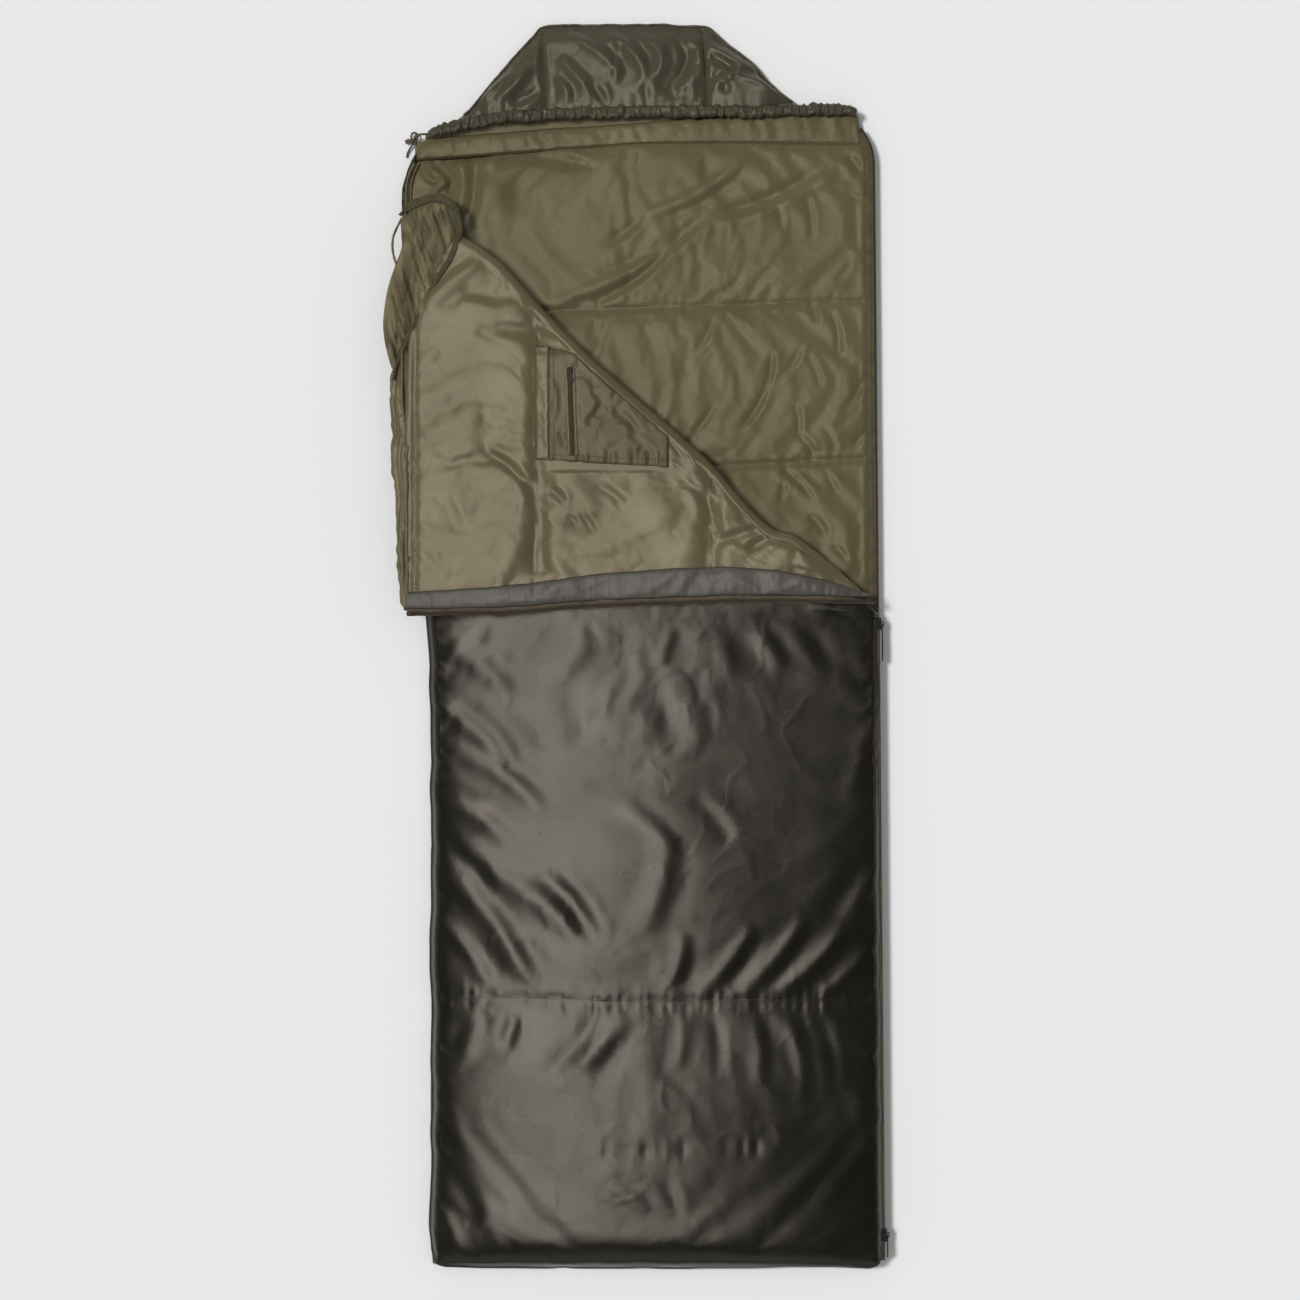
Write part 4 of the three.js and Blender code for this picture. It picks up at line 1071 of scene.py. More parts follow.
def hood_panel_plain(name, start, end, count):
    """A hood panel without its folds, along and beyond the neck line and in the world."""
    u = np.linspace(start, end, count)
    t = np.linspace(0, 1, HOOD_ROWS)[:, None]
    low_line = channel_y(u) + CHANNEL_WIDTH / 2 - 3
    high_line = np.maximum(crown_y(u) + 1.4 * wobble(u, 24, 41), low_line + 3)
    x = np.repeat(u[None, :], HOOD_ROWS, axis=0)
    y = low_line[None, :] + (high_line - low_line)[None, :] * t
    reach = np.linspace(0, 1, count)[None, :]
    seams = dome(2 * reach - 1, 2.6)
    z = HOOD_TOP_Z - 3 * (1 - seams) + 5 * seams * np.sin(math.pi * np.clip(t, 0, 1)) ** 0.7
    z = z - (HOOD_TOP_Z - HOOD_EDGE_Z) * step_up((t - 0.72) / 0.28) ** 1.6
    outer_side = {"left": reach, "right": 1 - reach}.get(name)
    if outer_side is not None:
        z = z - 8 * (1 - step_up(outer_side / 0.35))
    return np.dstack([x, y]), hood_place(x, y, z)


def make_hood_panel(number, name, strokes, count):
    start, end = PANEL_ENDS[number], PANEL_ENDS[number + 1]
    flat, grid = hood_panel_plain(name, start, end, count)
    pins = held_edges(grid.shape[:2])
    keep = HOOD_WRINKLES[name]
    fine = refine(inflate(grid, pins, keep, pressure=1.2, growth=0.03, bending=0.5, swell=0.1, calm=4.0), 2)
    flat = refine(flat, 2)
    fx, fy = flat[..., 0], flat[..., 1]
    rows, cols = fx.shape
    inner = dome(np.linspace(-1, 1, cols), 6)[None, :] * dome(np.linspace(-1, 1, rows), 7)[:, None]
    fine[..., 2] += 1.1 * folds(fx, fy, strokes) * inner + 0.8 * rough(fx, fy, 48, 43) * inner
    if name == "centre":
        fine[..., 2] += ridges(fine[..., 0], fine[..., 1], CENTRE_RIDGES) * inner
    near = bell((fy - fy[0][None, :]) / 22)
    fine[..., 2] += 2.0 * near * wobble(fx, 12, 44) * inner
    beside = bell(np.minimum(fx - start, end - fx) / 9)
    fine[..., 2] += 1.0 * beside * wobble(fy, 12, 45 + number) * inner
    fine[..., 2] = np.maximum(under_cap(fine[..., 2], HOOD_CAP_Z), HOOD_LOW_Z)
    low = at_height(fine, np.minimum(fine[..., 2] - 1.5, HOOD_INNER_Z))
    pad = closed_pad(f"hood_shell_{name}", fine, low, ["hood", "lining"], "hood", bulge=1)
    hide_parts(f"hood_panel_{name}")
    if name == "centre":
        for tag, column in (("a", 1), ("b", -2)):
            stitches(f"stitch_hood_{tag}", fine[3:-3, column] + [0, 0, 0.5], "hood")


def make_crown_piping():
    u = np.linspace(PANEL_ENDS[0] - 8, PANEL_ENDS[-1] + 4, 160)
    place = from_neck(u, crown_y(u) + 1.4 * wobble(u, 24, 41) + 0.5)
    line = curve_through(np.stack([*place, 10.5 + 1.0 * wobble(u, 12, 46)], axis=1), 220)
    piping = sweep("hood_crown_piping", line, 2.2, 2.6, "hood", "hood", around=10, gather=0.5, size=8)
    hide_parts("hood_crown_seam")


def make_channel():
    """The gathered channel at the front of the hood, which hides most of the drawcord."""
    u = np.linspace(*CHANNEL_ENDS, 420)
    first, last = CHANNEL_ENDS
    fade = np.clip(np.minimum(u - (first - 2), last + 2 - u) / 30, 0, 1) ** 0.5
    ripple = 1.5 * wobble(u, 13, 47) + 0.9 * wobble(u, 34, 48)
    line = np.stack([*from_neck(u, channel_y(u) + ripple), CHANNEL_Z + 1.2 * wobble(u, 21, 49)], axis=1)
    tube = sweep(
        "hood_channel", line, (CHANNEL_WIDTH / 2 + 0.6) * (0.35 + 0.65 * fade), 6.0 * (0.4 + 0.6 * fade),
        "hood", "hood", around=26, gather=0.95, size=6.5, seed=3,
    )
    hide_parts("hood_cord_channel", "hood_drawcord")
    for tag, off, size in (("top", CHANNEL_WIDTH / 2 - 1.5, 0.6), ("low", -CHANNEL_WIDTH / 2 + 2.2, 0.5)):
        place = from_neck(u, channel_y(u) + ripple + off)
        line = np.stack([*place, np.full(len(u), CHANNEL_Z + 4.6)], axis=1)
        stitches(f"stitch_channel_{tag}", line[10:-10], "hood", radius=size)


def make_hood():
    make_hood_back()
    for number, (name, strokes, count) in enumerate(HOOD_PANELS):
        make_hood_panel(number, name, strokes, count)
    make_crown_piping()
    make_channel()


CORD_RADIUS = 1.75


def make_drawcord():
    """The free end of the drawcord, which leaves the channel and ends in a bow knot."""
    exit_point = (36.0, 19.5, 26.5)
    drops = [(0, 0, 0), (-8, 0.4, -0.4), (-16, 0, -4), (-22, -1.5, -12), (-24, -4, -19)]
    base = np.array([*from_neck(exit_point[0], exit_point[1]), exit_point[2]])
    path = curve_through([base + np.array(d) for d in drops], 60)
    radius = CORD_RADIUS
    tail = sweep("drawcord_tail", path, radius, radius, "cord", "hood", around=12)
    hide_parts("hood_cord_tail")

    centre = np.array([*from_neck(10.0, 12.0), 4.2])
    loop = [(3, 2, 2), (6, 9, 2.6), (3, 15, 2.2), (-3, 15, 2), (-5, 8, 2.4), (-1, 2, 2)]
    legs = [(-1, -1, 1.5), (-6, -8, 0.6), (-11, -17, -1.2), (-13, -25, -2.2)]
    arm = [(1, 0, 2), (7, -3, 2), (12, -1, 2), (14, -8, 0), (6, -14, -1), (2, -20, -2)]
    for name, points, wide in (("bow_loop", loop, 1.6), ("bow_leg", legs, 1.5), ("bow_arm", arm, 1.5)):
        line = curve_through([centre + np.array(p) for p in points], 40)
        sweep(f"drawcord_{name}", line, wide, 1.4, "cord", "hood", around=10)
    flat = curve_through([centre + np.array(p) for p in [(-2, 1, 1), (-9, 2, 1.5), (-15, 0, 0.4)]], 20)
    sweep("drawcord_flat_end", flat, 3.6, 0.8, "tape", "hood", around=10)
    turns = []
    for a in np.linspace(0, 5 * math.pi, 90):
        turns.append(centre + [3.4 * math.cos(a), 2.8 * math.sin(a), 0.5 + 1.6 * math.sin(0.6 * a)])
    knot = sweep("drawcord_knot", np.array(turns), 1.6, 1.6, "cord", "hood", around=10)
    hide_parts("hood_cord_knot")


# ---------------------------------------------------------------- folded corner of the front panel
# Curves of the folded corner, as offsets from the point where the fold meets the zip.
FOLD_EDGE = [
    (-699, 621), (-629, 574), (-555, 492), (-467, 405), (-297, 255), (-189, 139), (-131, 114), (-27, 24),
    (-4, 8),
]
TAPE_EDGE = [(-800, -19), (-782, -17), (-608, -14), (-498, -5), (-334, 2), (-223, 5), (-4, 3)]
HEM_PATH = [
    (-781, -2), (-786, 22), (-788, 112), (-789, 192), (-793, 236), (-790, 285), (-794, 338), (-793, 387),
    (-792, 430),
]
HEM_HALF = [6, 10, 11, 12, 15, 14, 16, 15, 8]
NET_LEFT = [
    (-800, 384), (-808, 400), (-818, 440), (-820, 476), (-813, 524), (-801, 562), (-790, 592),
    (-790, 614), (-792, 642),
]
NET_RIGHT = [
    (-796, 374), (-799, 397), (-786, 435), (-766, 473), (-742, 526), (-714, 574), (-697, 614),
    (-700, 652), (-726, 670),
]
BINDING = [
    (-794, 646), (-778, 661), (-757, 670), (-732, 675), (-712, 667), (-700, 650),
    (-695, 616), (-713, 572), (-742, 525), (-766, 471), (-786, 435), (-800, 397), (-805, 374),
]
# how far the draft strip reaches from the tape, at offsets along it
DRAFT_SPREAD = [(-792, 27), (-682, 32), (-560, 39), (-407, 46), (-272, 48), (-168, 41), (-62, 20), (-12, 3)]
NET_STRAND = [(-792, 640), (-799, 626), (-805, 611), (-806, 592), (-803, 574), (-798, 560)]
ROLL = 17  # radius of the rolled fold
ROLL_Z = FLAP_SHELL_Z - 0.3
ROLL_TURNS = (15, 30, 45, 60, 77.4, 101.9, 120, 140, 160, 180)
LINING_BOTTOM = 14  # the lining starts this far above the outer edge of the zip tape
LINING_LEFT = -786
LINING_LEAN = 84  # the left side leans over to the end of the fold
FLAP_EDGE_Z = FLAP_LINING_Z - 3.5
FLAP_CREST_Z = FLAP_LINING_Z + 5
STITCH_COLUMNS = [(-566, 55, 492), (-278, 55, 233)]
FLAP_GRID = (101, 72)  # columns and rows
FLAP_LOW_Z = 50.5
FLAP_WRINKLES = 0.55
FREE_ROOM = 70  # shorter columns are pinned, as wrinkles have no room there
ROLL_LEAST = 9  # the least half height of the rolled fold
HEM_HALF_HEIGHT, HEM_Z = 7.0, 53.5
FACING = 17  # width of the stitched strip at the left edge

FLAP_FOLDS = [
    (-751, 489, -656, 572, 11, 6), (-668, 462, -505, 421, 15, -7), (-700, 500, -628, 478, 14, 5),
    (-661, 262, -568, 182, 8, -4.5), (-735, 228, -572, 234, 10, -2.6), (-627, 572, -590, 520, 14, -3),
    (-272, 104, -190, 124, 9, -5.5), (-221, 90, -168, 116, 9, -4.5), (-180, 126, -100, 80, 12, -4),
    (-515, 152, -502, 132, 6, -2.5), (-497, 155, -470, 116, 6, -2.5), (-548, 196, -520, 168, 7, -3),
    (-400, 205, -335, 100, 28, 3.5), (-330, 208, -280, 170, 9, -3), (-300, 186, -270, 130, 9, -2.6),
    (-470, 200, -420, 165, 9, -2.6), (-520, 215, -470, 150, 16, 2.2), (-640, 120, -600, 60, 30, 2),
    (-700, 330, -672, 250, 26, 2.4), (-735, 180, -690, 110, 12, -1.4),
    (-150, 62, -96, 42, 8, -3.4), (-236, 150, -200, 118, 9, -3),
]
HEM_STARS = [(-779, 225), (-779, 101)]


def on_flap(points):
    return np.array(points, float) + FOLD_POINT[:2]


def flap_frame(count):
    """For each column of the folded corner: its foot, the fold edge, the way out there, and the radius."""
    edge = height_line(on_flap(FOLD_EDGE))
    tape = height_line(on_flap(TAPE_EDGE))
    u = np.linspace(0, 1, count)
    foot_x = FOLD_POINT[0] + LINING_LEFT + u * (-22 - LINING_LEFT)
    foot = np.stack([foot_x, tape(foot_x) + LINING_BOTTOM], axis=1)
    edge_x = foot_x + LINING_LEAN * (1 - u) ** 8
    top = np.stack([edge_x, edge(edge_x)], axis=1)
    along = unit(np.gradient(top, axis=0))
    out = np.stack([-along[:, 1], along[:, 0]], axis=1)
    for k in (0, 1):
        out[:, k] = smoothed(out[:, k], 9)
    out = unit(out)
    room = np.clip((top[:, 1] - foot[:, 1] - 10) / 80, 0.2, 1)
    return foot, top, out, ROLL * room


def flap_surface():
    cols, rows = FLAP_GRID
    foot, top, out, radius = flap_frame(cols)
    tall = np.clip(radius, ROLL_LEAST, ROLL)
    inner = top - out * radius[:, None]
    v = np.linspace(0, 1, rows)[:, None]
    x = foot[:, 0] + (inner[:, 0] - foot[:, 0]) * v**8
    y = foot[:, 1] + (inner[:, 1] - foot[:, 1]) * v
    end_z = ROLL_Z + tall
    side = dome(2 * np.linspace(0, 1, cols) - 1, 6)[None, :]
    rise = np.minimum(1, dome(np.clip(1 - v / 0.16, 0, 1), 2.2)) * side
    z = FLAP_EDGE_Z + (end_z[None, :] - FLAP_EDGE_Z) * step_up(v * 1.2)
    z = z + 2.5 * rise * (1 - step_up((v - 0.8) / 0.2))
    z = np.minimum(z, np.maximum(end_z, 50)[None, :] + 2.5)
    pins = held_edges(x.shape)
    pins[:, :3] = 1
    pins[:, (top[:, 1] - foot[:, 1]) < FREE_ROOM] = 1
    fx, fy = x - FOLD_POINT[0], y - FOLD_POINT[1]
    for column, low, high in STITCH_COLUMNS:
        near = np.abs(fx - column)
        in_range = (fy > low) & (fy < high)
        z = z - 4.5 * bell(near / 16) * in_range
        nearest = near == near.min(axis=1, keepdims=True)
        pins[nearest & in_range] = 1
    fine = refine(inflate(np.dstack([x, y, z]), pins, FLAP_WRINKLES))
    gx, gy = fine[..., 0] - FOLD_POINT[0], fine[..., 1] - FOLD_POINT[1]
    n_rows, n_cols = gx.shape
    inner_part = dome(np.linspace(-1, 1, n_cols), 12)[None, :] * dome(np.linspace(-1, 1, n_rows), 12)[:, None]
    change = folds(gx, gy, FLAP_FOLDS) + 1.0 * rough(gx, gy, 110, 51) + 0.7 * rough(gx, gy, 30, 52)
    for column, low, high in STITCH_COLUMNS:
        off = (gx - column) / 14
        inside = step_up((gy - low) / 20) * step_up((high - gy) / 20)
        change += 2.0 * (bell(off) - bell(off * 3)) * wobble(gy, 12, 53) * inside
    for cx, cy in HEM_STARS:
        angle = np.arctan2(gy - cy, gx - cx)
        far = np.hypot(gy - cy, gx - cx)
        change += 1.3 * bell(far / 36) * wobble(angle * 10, 3.4, 54 + cy) * np.clip(far / 8, 0, 1)
    beside = bell((gx - LINING_LEFT - FACING) / 5)
    change += -2.4 * beside + 2.0 * bell((gx - LINING_LEFT - FACING) / 15) * wobble(gy, 10, 55)
    fine[..., 2] = np.maximum(under_cap(fine[..., 2] + change * inner_part, FLAP_CREST_Z, 3), FLAP_LOW_Z)
    pocket = (gx > -575) & (gx < -345) & (gy > 222) & (gy < 440)
    fine[..., 2] = np.where(pocket, np.minimum(fine[..., 2], FLAP_LINING_Z), fine[..., 2])
    return fine


def make_flap():
    fine = flap_surface()
    cols = fine.shape[1]
    _, top, out, radius = flap_frame(cols)
    tall = np.clip(radius, ROLL_LEAST, ROLL)
    centre = top - out * radius[:, None]
    rows = []
    for turn in ROLL_TURNS:
        a = math.radians(turn)
        place = centre + out * (radius * math.sin(a))[:, None]
        rows.append(np.column_stack([place, ROLL_Z + tall * math.cos(a)]))
    for tuck in (10, 24):
        place = centre - out * np.minimum(tuck, radius)[:, None]
        rows.append(np.column_stack([place, ROLL_Z - tall + 0 * radius]))
    ripple = 1.3 * wobble(np.arange(cols) * 4.0, 16, 61) + 1.6 * wobble(np.arange(cols) * 4.0, 60, 62)
    grid = np.concatenate([fine, np.array(rows)])
    for k in range(len(ROLL_TURNS) + 2):
        share = math.sin(math.radians(min(180, 15 * (k + 1))))
        grid[len(fine) + k, :, :2] += out * (ripple * share * np.minimum(1, radius / ROLL))[:, None]
    lining = thick_sheet("flap_lining_roll", grid, 0.8, "flap")
    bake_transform(lining)
    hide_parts("flap_lining")

    crease = []
    for inset, level in ((34, -2.3), (9, -1.8), (9, 1.4), (34, 2.2)):
        place = top - out * (np.minimum(inset, radius * 2) + 0 * radius)[:, None]
        crease.append(np.column_stack([place, np.full(cols, ROLL_Z + level)]))
    crease = np.array(crease)
    # the strip of shell along the fold
    strip = new_mesh("flap_crease", crease.reshape(-1, 3), grid_faces(4, cols), "shell")
    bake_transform(strip)

    under = fine[::2, ::2].copy()
    under[0, :, 1] -= 3
    deep = under.copy()
    under[..., 2] = np.minimum(under[..., 2] - 2, FLAP_SHELL_Z + 9)
    deep[..., 2] = FLAP_SHELL_Z + 0.5 + np.clip(0.9 + 1.1 * rough(deep[..., 0], deep[..., 1], 45, 63), 0, 2.2)
    shell = closed_pad("flap_under_shell", under, deep, "shell", "flap", bulge=2.5)
    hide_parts("flap_shell", "flap_insulation")
    return fine


def stitch_flap(fine, ground):
    for number, (column, low, high) in enumerate(STITCH_COLUMNS):
        y = np.linspace(low - 30, high, 80) + FOLD_POINT[1]
        x = np.full(len(y), column + FOLD_POINT[0]) + 1.2 * wobble(y, 40, 64)
        stitches(f"stitch_flap_{number}", ground.line(x, y, FLAP_LINING_Z, 0.3), "flap")
    facing_x = FOLD_POINT[0] + LINING_LEFT + FACING
    line = []
    for row in fine[4:-8, :]:
        shift = row[0, 0] - (FOLD_POINT[0] + LINING_LEFT)
        line.append([facing_x + shift, np.interp(facing_x + shift, row[:, 0], row[:, 1])])
    line = np.array(line)
    line = ground.line(line[:, 0], line[:, 1], FLAP_LINING_Z, 0.3)
    stitches("stitch_flap_facing", line, "flap", radius=0.7)


def make_flap_zip(tape):
    """The zip tape and coil along the outer edge of the folded corner."""
    x = np.linspace(FOLD_POINT[0] - 782, FOLD_POINT[0] - 6, 300)
    ruffle = 1.0 * wobble(x, 22, 65)
    rise = 1.5 * wobble(x, 60, 66)
    near_end = step_up((FOLD_POINT[0] - x) / 90)
    drop = (1 - near_end) * 14
    outer = np.column_stack([x, tape(x) + ruffle])
    inner = np.column_stack([x, tape(x) + 16 * (0.35 + 0.65 * near_end)])
    level = FLAP_EDGE_Z + 1.2 + rise - drop

    def tape_height(px, py):
        return np.interp(px, x, level) + 0.06 * (py - tape(px))

    strip = laid_strip("flap_tape", outer, inner, 5, tape_height, 0.5, 0.9, "tape", "flap")
    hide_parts("flap_zip_tape")
    line = np.column_stack([outer + [0, 2.2], level + 1.2])
    coil = teeth("flap_teeth", line[::-1], "flap", 1)
    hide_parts("flap_zip_coil")
    make_stop("flap_end_stop", "flap_zip_top_stop", line[2], "flap")
    stitches("stitch_flap_tape", np.column_stack([outer + [0, 8.5], level + 1.7]), "flap", radius=0.45)


def make_flap_draft_strip(tape, ground):
    width = height_line(on_flap(DRAFT_SPREAD) - [0, FOLD_POINT[1]])
    x = np.linspace(FOLD_POINT[0] - 784, FOLD_POINT[0] - 14, 320)
    low_y = tape(x) + 12 + 1.4 * wobble(x, 30, 67)
    high_y = low_y + np.maximum(width(x), 3) + 1.2 * wobble(x, 50, 68)
    pucker = 0.9 * wobble(x, 7, 69) + 1.2 * wobble(x, 35, 70)
    fall = (1 - step_up((FOLD_POINT[0] - x) / 80)) * 9

    def strip_height(px, py):
        base = ground.over(px, py, FLAP_EDGE_Z + 1)
        kept = np.maximum(base, FLAP_EDGE_Z + 0.5)
        near = bell((py - np.interp(px, x, low_y)) / 9)
        return kept + 2.0 + np.interp(px, x, pucker) * (0.35 + near) - np.interp(px, x, fall)

    low, high = np.column_stack([x, low_y]), np.column_stack([x, high_y])
    tube = laid_strip("flap_draft_strip", low, high, 13, strip_height, 4.2, 1.8, "draft", "flap")
    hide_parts("flap_draft_tube")


def make_flap_hem():
    """The gathered hem at the outer side of the folded corner."""
    path = on_flap(HEM_PATH)
    line = curve_through(path, 300)
    share = np.linspace(0, 1, len(path))
    half = np.interp(np.linspace(0, 1, 300), share, HEM_HALF) + 1.6 * wobble(line[:, 1], 18, 71)
    line = np.column_stack([line, HEM_Z + 1.5 * wobble(line[:, 1], 30, 72)])
    hem = sweep(
        "flap_hem_gathers", line, half, HEM_HALF_HEIGHT, "flap", "flap",
        around=40, gather=0.3, size=12, seed=5, bundle=1.1,
    )
    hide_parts("flap_hem")
    press(hem)


def make_flap_edges(fine):
    """Stitches, zip, draft strip and hem of the folded corner. Returns the ground that the pocket lies on."""
    ground = Ground(fine)
    tape = height_line(on_flap(TAPE_EDGE))
    stitch_flap(fine, ground)
    make_flap_zip(tape)
    make_flap_draft_strip(tape, ground)
    make_flap_hem()
    return ground


# ---------------------------------------------------------------- pocket
POCKET_LEFT, POCKET_RIGHT = -571, -349
POCKET_LOW, POCKET_TOP = (242, 230), (433, 418)
WELT_WIDTH = 23
SLIT_X, SLIT_LOW, SLIT_HIGH = -510, 249, 393
POCKET_GRID = (90, 70)
POCKET_TEETH = dict(pitch=2.0, reach=2.2, thick=1.2, height=1.6)
POCKET_FOLDS = [
    (-500, 380, -478, 300, 12, 2.4), (-486, 300, -452, 330, 9, -2.4), (-460, 270, -410, 300, 12, 2.2),
    (-440, 330, -400, 280, 9, -1.8), (-400, 262, -372, 250, 8, -1.6), (-470, 360, -440, 350, 9, 1.8),
    (-530, 290, -520, 262, 6, -1.5), (-544, 380, -540, 300, 6, 1.2),
]


def make_pocket(ground, fine):
    _, top, out, radius = flap_frame(fine.shape[1])
    limit = top - out * (radius + 1)[:, None] * 0.9
    order = np.argsort(limit[:, 0])
    cols, rows = POCKET_GRID
    x = np.linspace(POCKET_LEFT, POCKET_RIGHT, cols) + FOLD_POINT[0]
    share = (x - x[0]) / (x[-1] - x[0])
    low = FOLD_POINT[1] + POCKET_LOW[0] + (POCKET_LOW[1] - POCKET_LOW[0]) * share + 1.2 * wobble(x, 14, 81)
    cut = np.interp(x, limit[order, 0], limit[order, 1]) - 2
    high = np.minimum(FOLD_POINT[1] + POCKET_TOP[0] - 15 * share * 3.5, cut)
    t = np.linspace(0, 1, rows)[:, None]
    xx = np.repeat(x[None, :], rows, axis=0)
    yy = low[None, :] + (high - low)[None, :] * t
    rx, ry = xx - FOLD_POINT[0], yy - FOLD_POINT[1]
    base = ground.over(xx, yy, FLAP_LINING_Z)
    rim = np.minimum(dome(2 * t - 1, 8), dome(2 * share - 1, 8)[None, :])
    z = base + 1.2 + 1.2 * rim + folds(rx, ry, POCKET_FOLDS) * rim + 0.7 * rough(rx, ry, 22, 82) * rim
    z = z + 2.2 * bell((ry - POCKET_LOW[0]) / 12) * wobble(xx, 7, 83)
    slit = bell((rx - SLIT_X) / 4) * (ry > SLIT_LOW) * (ry < SLIT_HIGH)
    z = np.clip(z - 2.2 * slit, base + 0.4, FLAP_LINING_Z + 3.3)
    grid = np.dstack([xx, yy, z])
    pouch = closed_pad("pocket_cloth", grid, at_height(grid, base - 1.5), "pocket", "flap", bulge=0.8)
    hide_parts("pocket_pouch")
    on_pocket = Ground(grid)

    def over(px, py):
        return on_pocket.over(px, py, FLAP_LINING_Z + 1)

    y = np.linspace(low[0] + 2, high[0] - 4, 120)
    left = np.full(len(y), x[0] + 1.0)
    welt = laid_strip(
        "pocket_welt_strip", np.column_stack([left + WELT_WIDTH, y]), np.column_stack([left, y]), 9,
        lambda px, py: over(px, py) + 0.8 + 0.9 * wobble(py, 9, 84), 1.1, 1.2, "flap", "flap",
    )
    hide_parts("pocket_welt")
    for number, off in enumerate((2.0, WELT_WIDTH + 1.5, WELT_WIDTH + 7.5)):
        line = on_pocket.line(left + off, y, FLAP_LINING_Z + 1, 1.9)
        line[:, 2] -= 0.6 * (number > 0)
        stitches(f"stitch_welt_{number}", line, "flap")
    for number, off in enumerate((2.5, 10)):
        px = np.linspace(x[0] + 4, x[-1] - 3, 80)
        py = np.interp(px, x, low) + off
        stitches(f"stitch_pocket_hem_{number}", on_pocket.line(px, py, FLAP_LINING_Z + 1, 0.4), "flap")
    py = np.linspace(low[-1] + 3, high[-1] - 3, 20)
    px = np.full(len(py), x[-1] - 3.0)
    stitches("stitch_pocket_side", on_pocket.line(px, py, FLAP_LINING_Z + 1, 0.4), "flap")
    make_pocket_zip(over)


def make_pocket_zip(over):
    """The short zip in the slit of the pocket. over gives the height of the pocket's surface."""
    py = np.linspace(SLIT_LOW, SLIT_HIGH, 90) + FOLD_POINT[1]
    lean = (py - py.mean()) * -0.0368
    px = np.full(len(py), FOLD_POINT[0] + SLIT_X) + lean
    level = np.minimum(over(px, py) + 0.6, FLAP_LINING_Z + 2.6)
    tape = laid_strip(
        "pocket_tape", np.column_stack([px + 8, py]), np.column_stack([px - 8, py]), 5,
        lambda a, b: np.interp(b, py, level) + 0.1, 0.2, 1.0, "tape", "flap",
    )
    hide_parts("pocket_zip_tape")
    line = np.column_stack([px, py, level + 0.9])
    coil = teeth("pocket_teeth", line, "flap", 1, **POCKET_TEETH)
    other = teeth("pocket_teeth_left", line + [0, 1.0, 0], "flap", -1, **POCKET_TEETH)
    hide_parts("pocket_zip_coil")
    for tag, sign in (("left", -1), ("right", 1)):
        lip = line + [sign * 6.2, 0, 0.5]
        sweep(f"pocket_lip_{tag}", lip, 2.4, 1.5, "flap", "flap", around=10, gather=0.4, size=12, seed=sign)


# ---------------------------------------------------------------- insect net
NET_CAP_Z = FLAP_LINING_Z + 9  # the bundle is not higher than this
NET_GRID = (130, 40)
NET_Z, NET_LEAST_Z = 55, 58  # height of the bundle's edges, and the least height of the binding


def make_net_bundle():
    rows, cols = NET_GRID
    left = curve_through(on_flap(NET_LEFT), rows)
    right = curve_through(on_flap(NET_RIGHT), rows)
    t = np.linspace(0, 1, cols)[None, :]
    x = left[:, :1] + (right[:, :1] - left[:, :1]) * t
    y = left[:, 1:] + (right[:, 1:] - left[:, 1:]) * t
    width = np.linalg.norm(right - left, axis=1)
    swell = np.sqrt(np.maximum(np.sin(math.pi * t), 0))
    end = np.clip(np.linspace(0, 1, rows) / 0.12, 0, 1)[:, None]
    end = end * np.clip((1 - np.linspace(0, 1, rows)) / 0.06, 0.3, 1)[:, None]
    body = NET_Z + (6 + 3 * np.minimum(width / 60, 1))[:, None] * swell * end
    long_folds = rough(x * 2.6 + y * 0.9, y * 0.3, 20, 91, 4)
    cross = rough(x, y, 16, 92, 3)
    z = body + (8.5 * long_folds + 2.2 * cross) * swell * end
    z = np.minimum(z, NET_CAP_Z)
    top = np.dstack([x, y, z])
    low = at_height(top, np.minimum(z - 3, 47.5 + 2 * (1 - swell)))
    net = closed_pad("net_bundle", top, low, "net", "flap", bulge=2)
    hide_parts("net_panel")
    return net, Ground(top)


def make_net_binding(ground):
    """The binding round the net, with three rows of stitches. Returns all four pieces."""
    line = curve_through(on_flap(BINDING), 240)
    ahead = unit(np.gradient(line, axis=0))
    side = np.column_stack([-ahead[:, 1], ahead[:, 0]])
    s = np.linspace(0, 1, len(line))
    half = 7.5 * np.clip(np.minimum(s / 0.05, (1 - s) / 0.12), 0.35, 1)
    half = half * (0.8 + 0.2 * np.cos(s * 5))
    wave = 1.5 * wobble(s * 700, 40, 93)
    line = line + side * wave[:, None]
    level = ground.over(line[:, 0], line[:, 1], NET_LEAST_Z)
    level = np.clip(smoothed(level, 21) + 2.5, NET_LEAST_Z, NET_CAP_Z - 1) + 0.8 * wobble(s * 700, 14, 94)
    strap = laid_strip(
        "net_binding_strap", line - side * half[:, None], line + side * half[:, None], 9,
        nearest_level(line, level), 1.5, 2.2, "binding", "flap",
    )
    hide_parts("net_binding")
    made = [strap]
    for number, off in enumerate((-0.62, 0.05, 0.62)):
        row = line + side * (half * off)[:, None]
        row = np.column_stack([row, level + 1.9])
        made.append(stitches(f"stitch_binding_{number}", row, "flap", radius=0.5, pitch=4.5))
    return made


def make_net():
    net, ground = make_net_bundle()
    pressed = [net, *make_net_binding(ground)]
    strand = curve_through(on_flap(NET_STRAND), 60)
    strand = np.column_stack([strand, NET_Z + 2 * np.sin(np.linspace(0, math.pi, 60))])
    pressed.append(sweep("net_edge_strand", strand, 2.0, 1.6, "net", "flap", around=10, gather=0.5, size=8))
    for item in pressed:
        press(item)


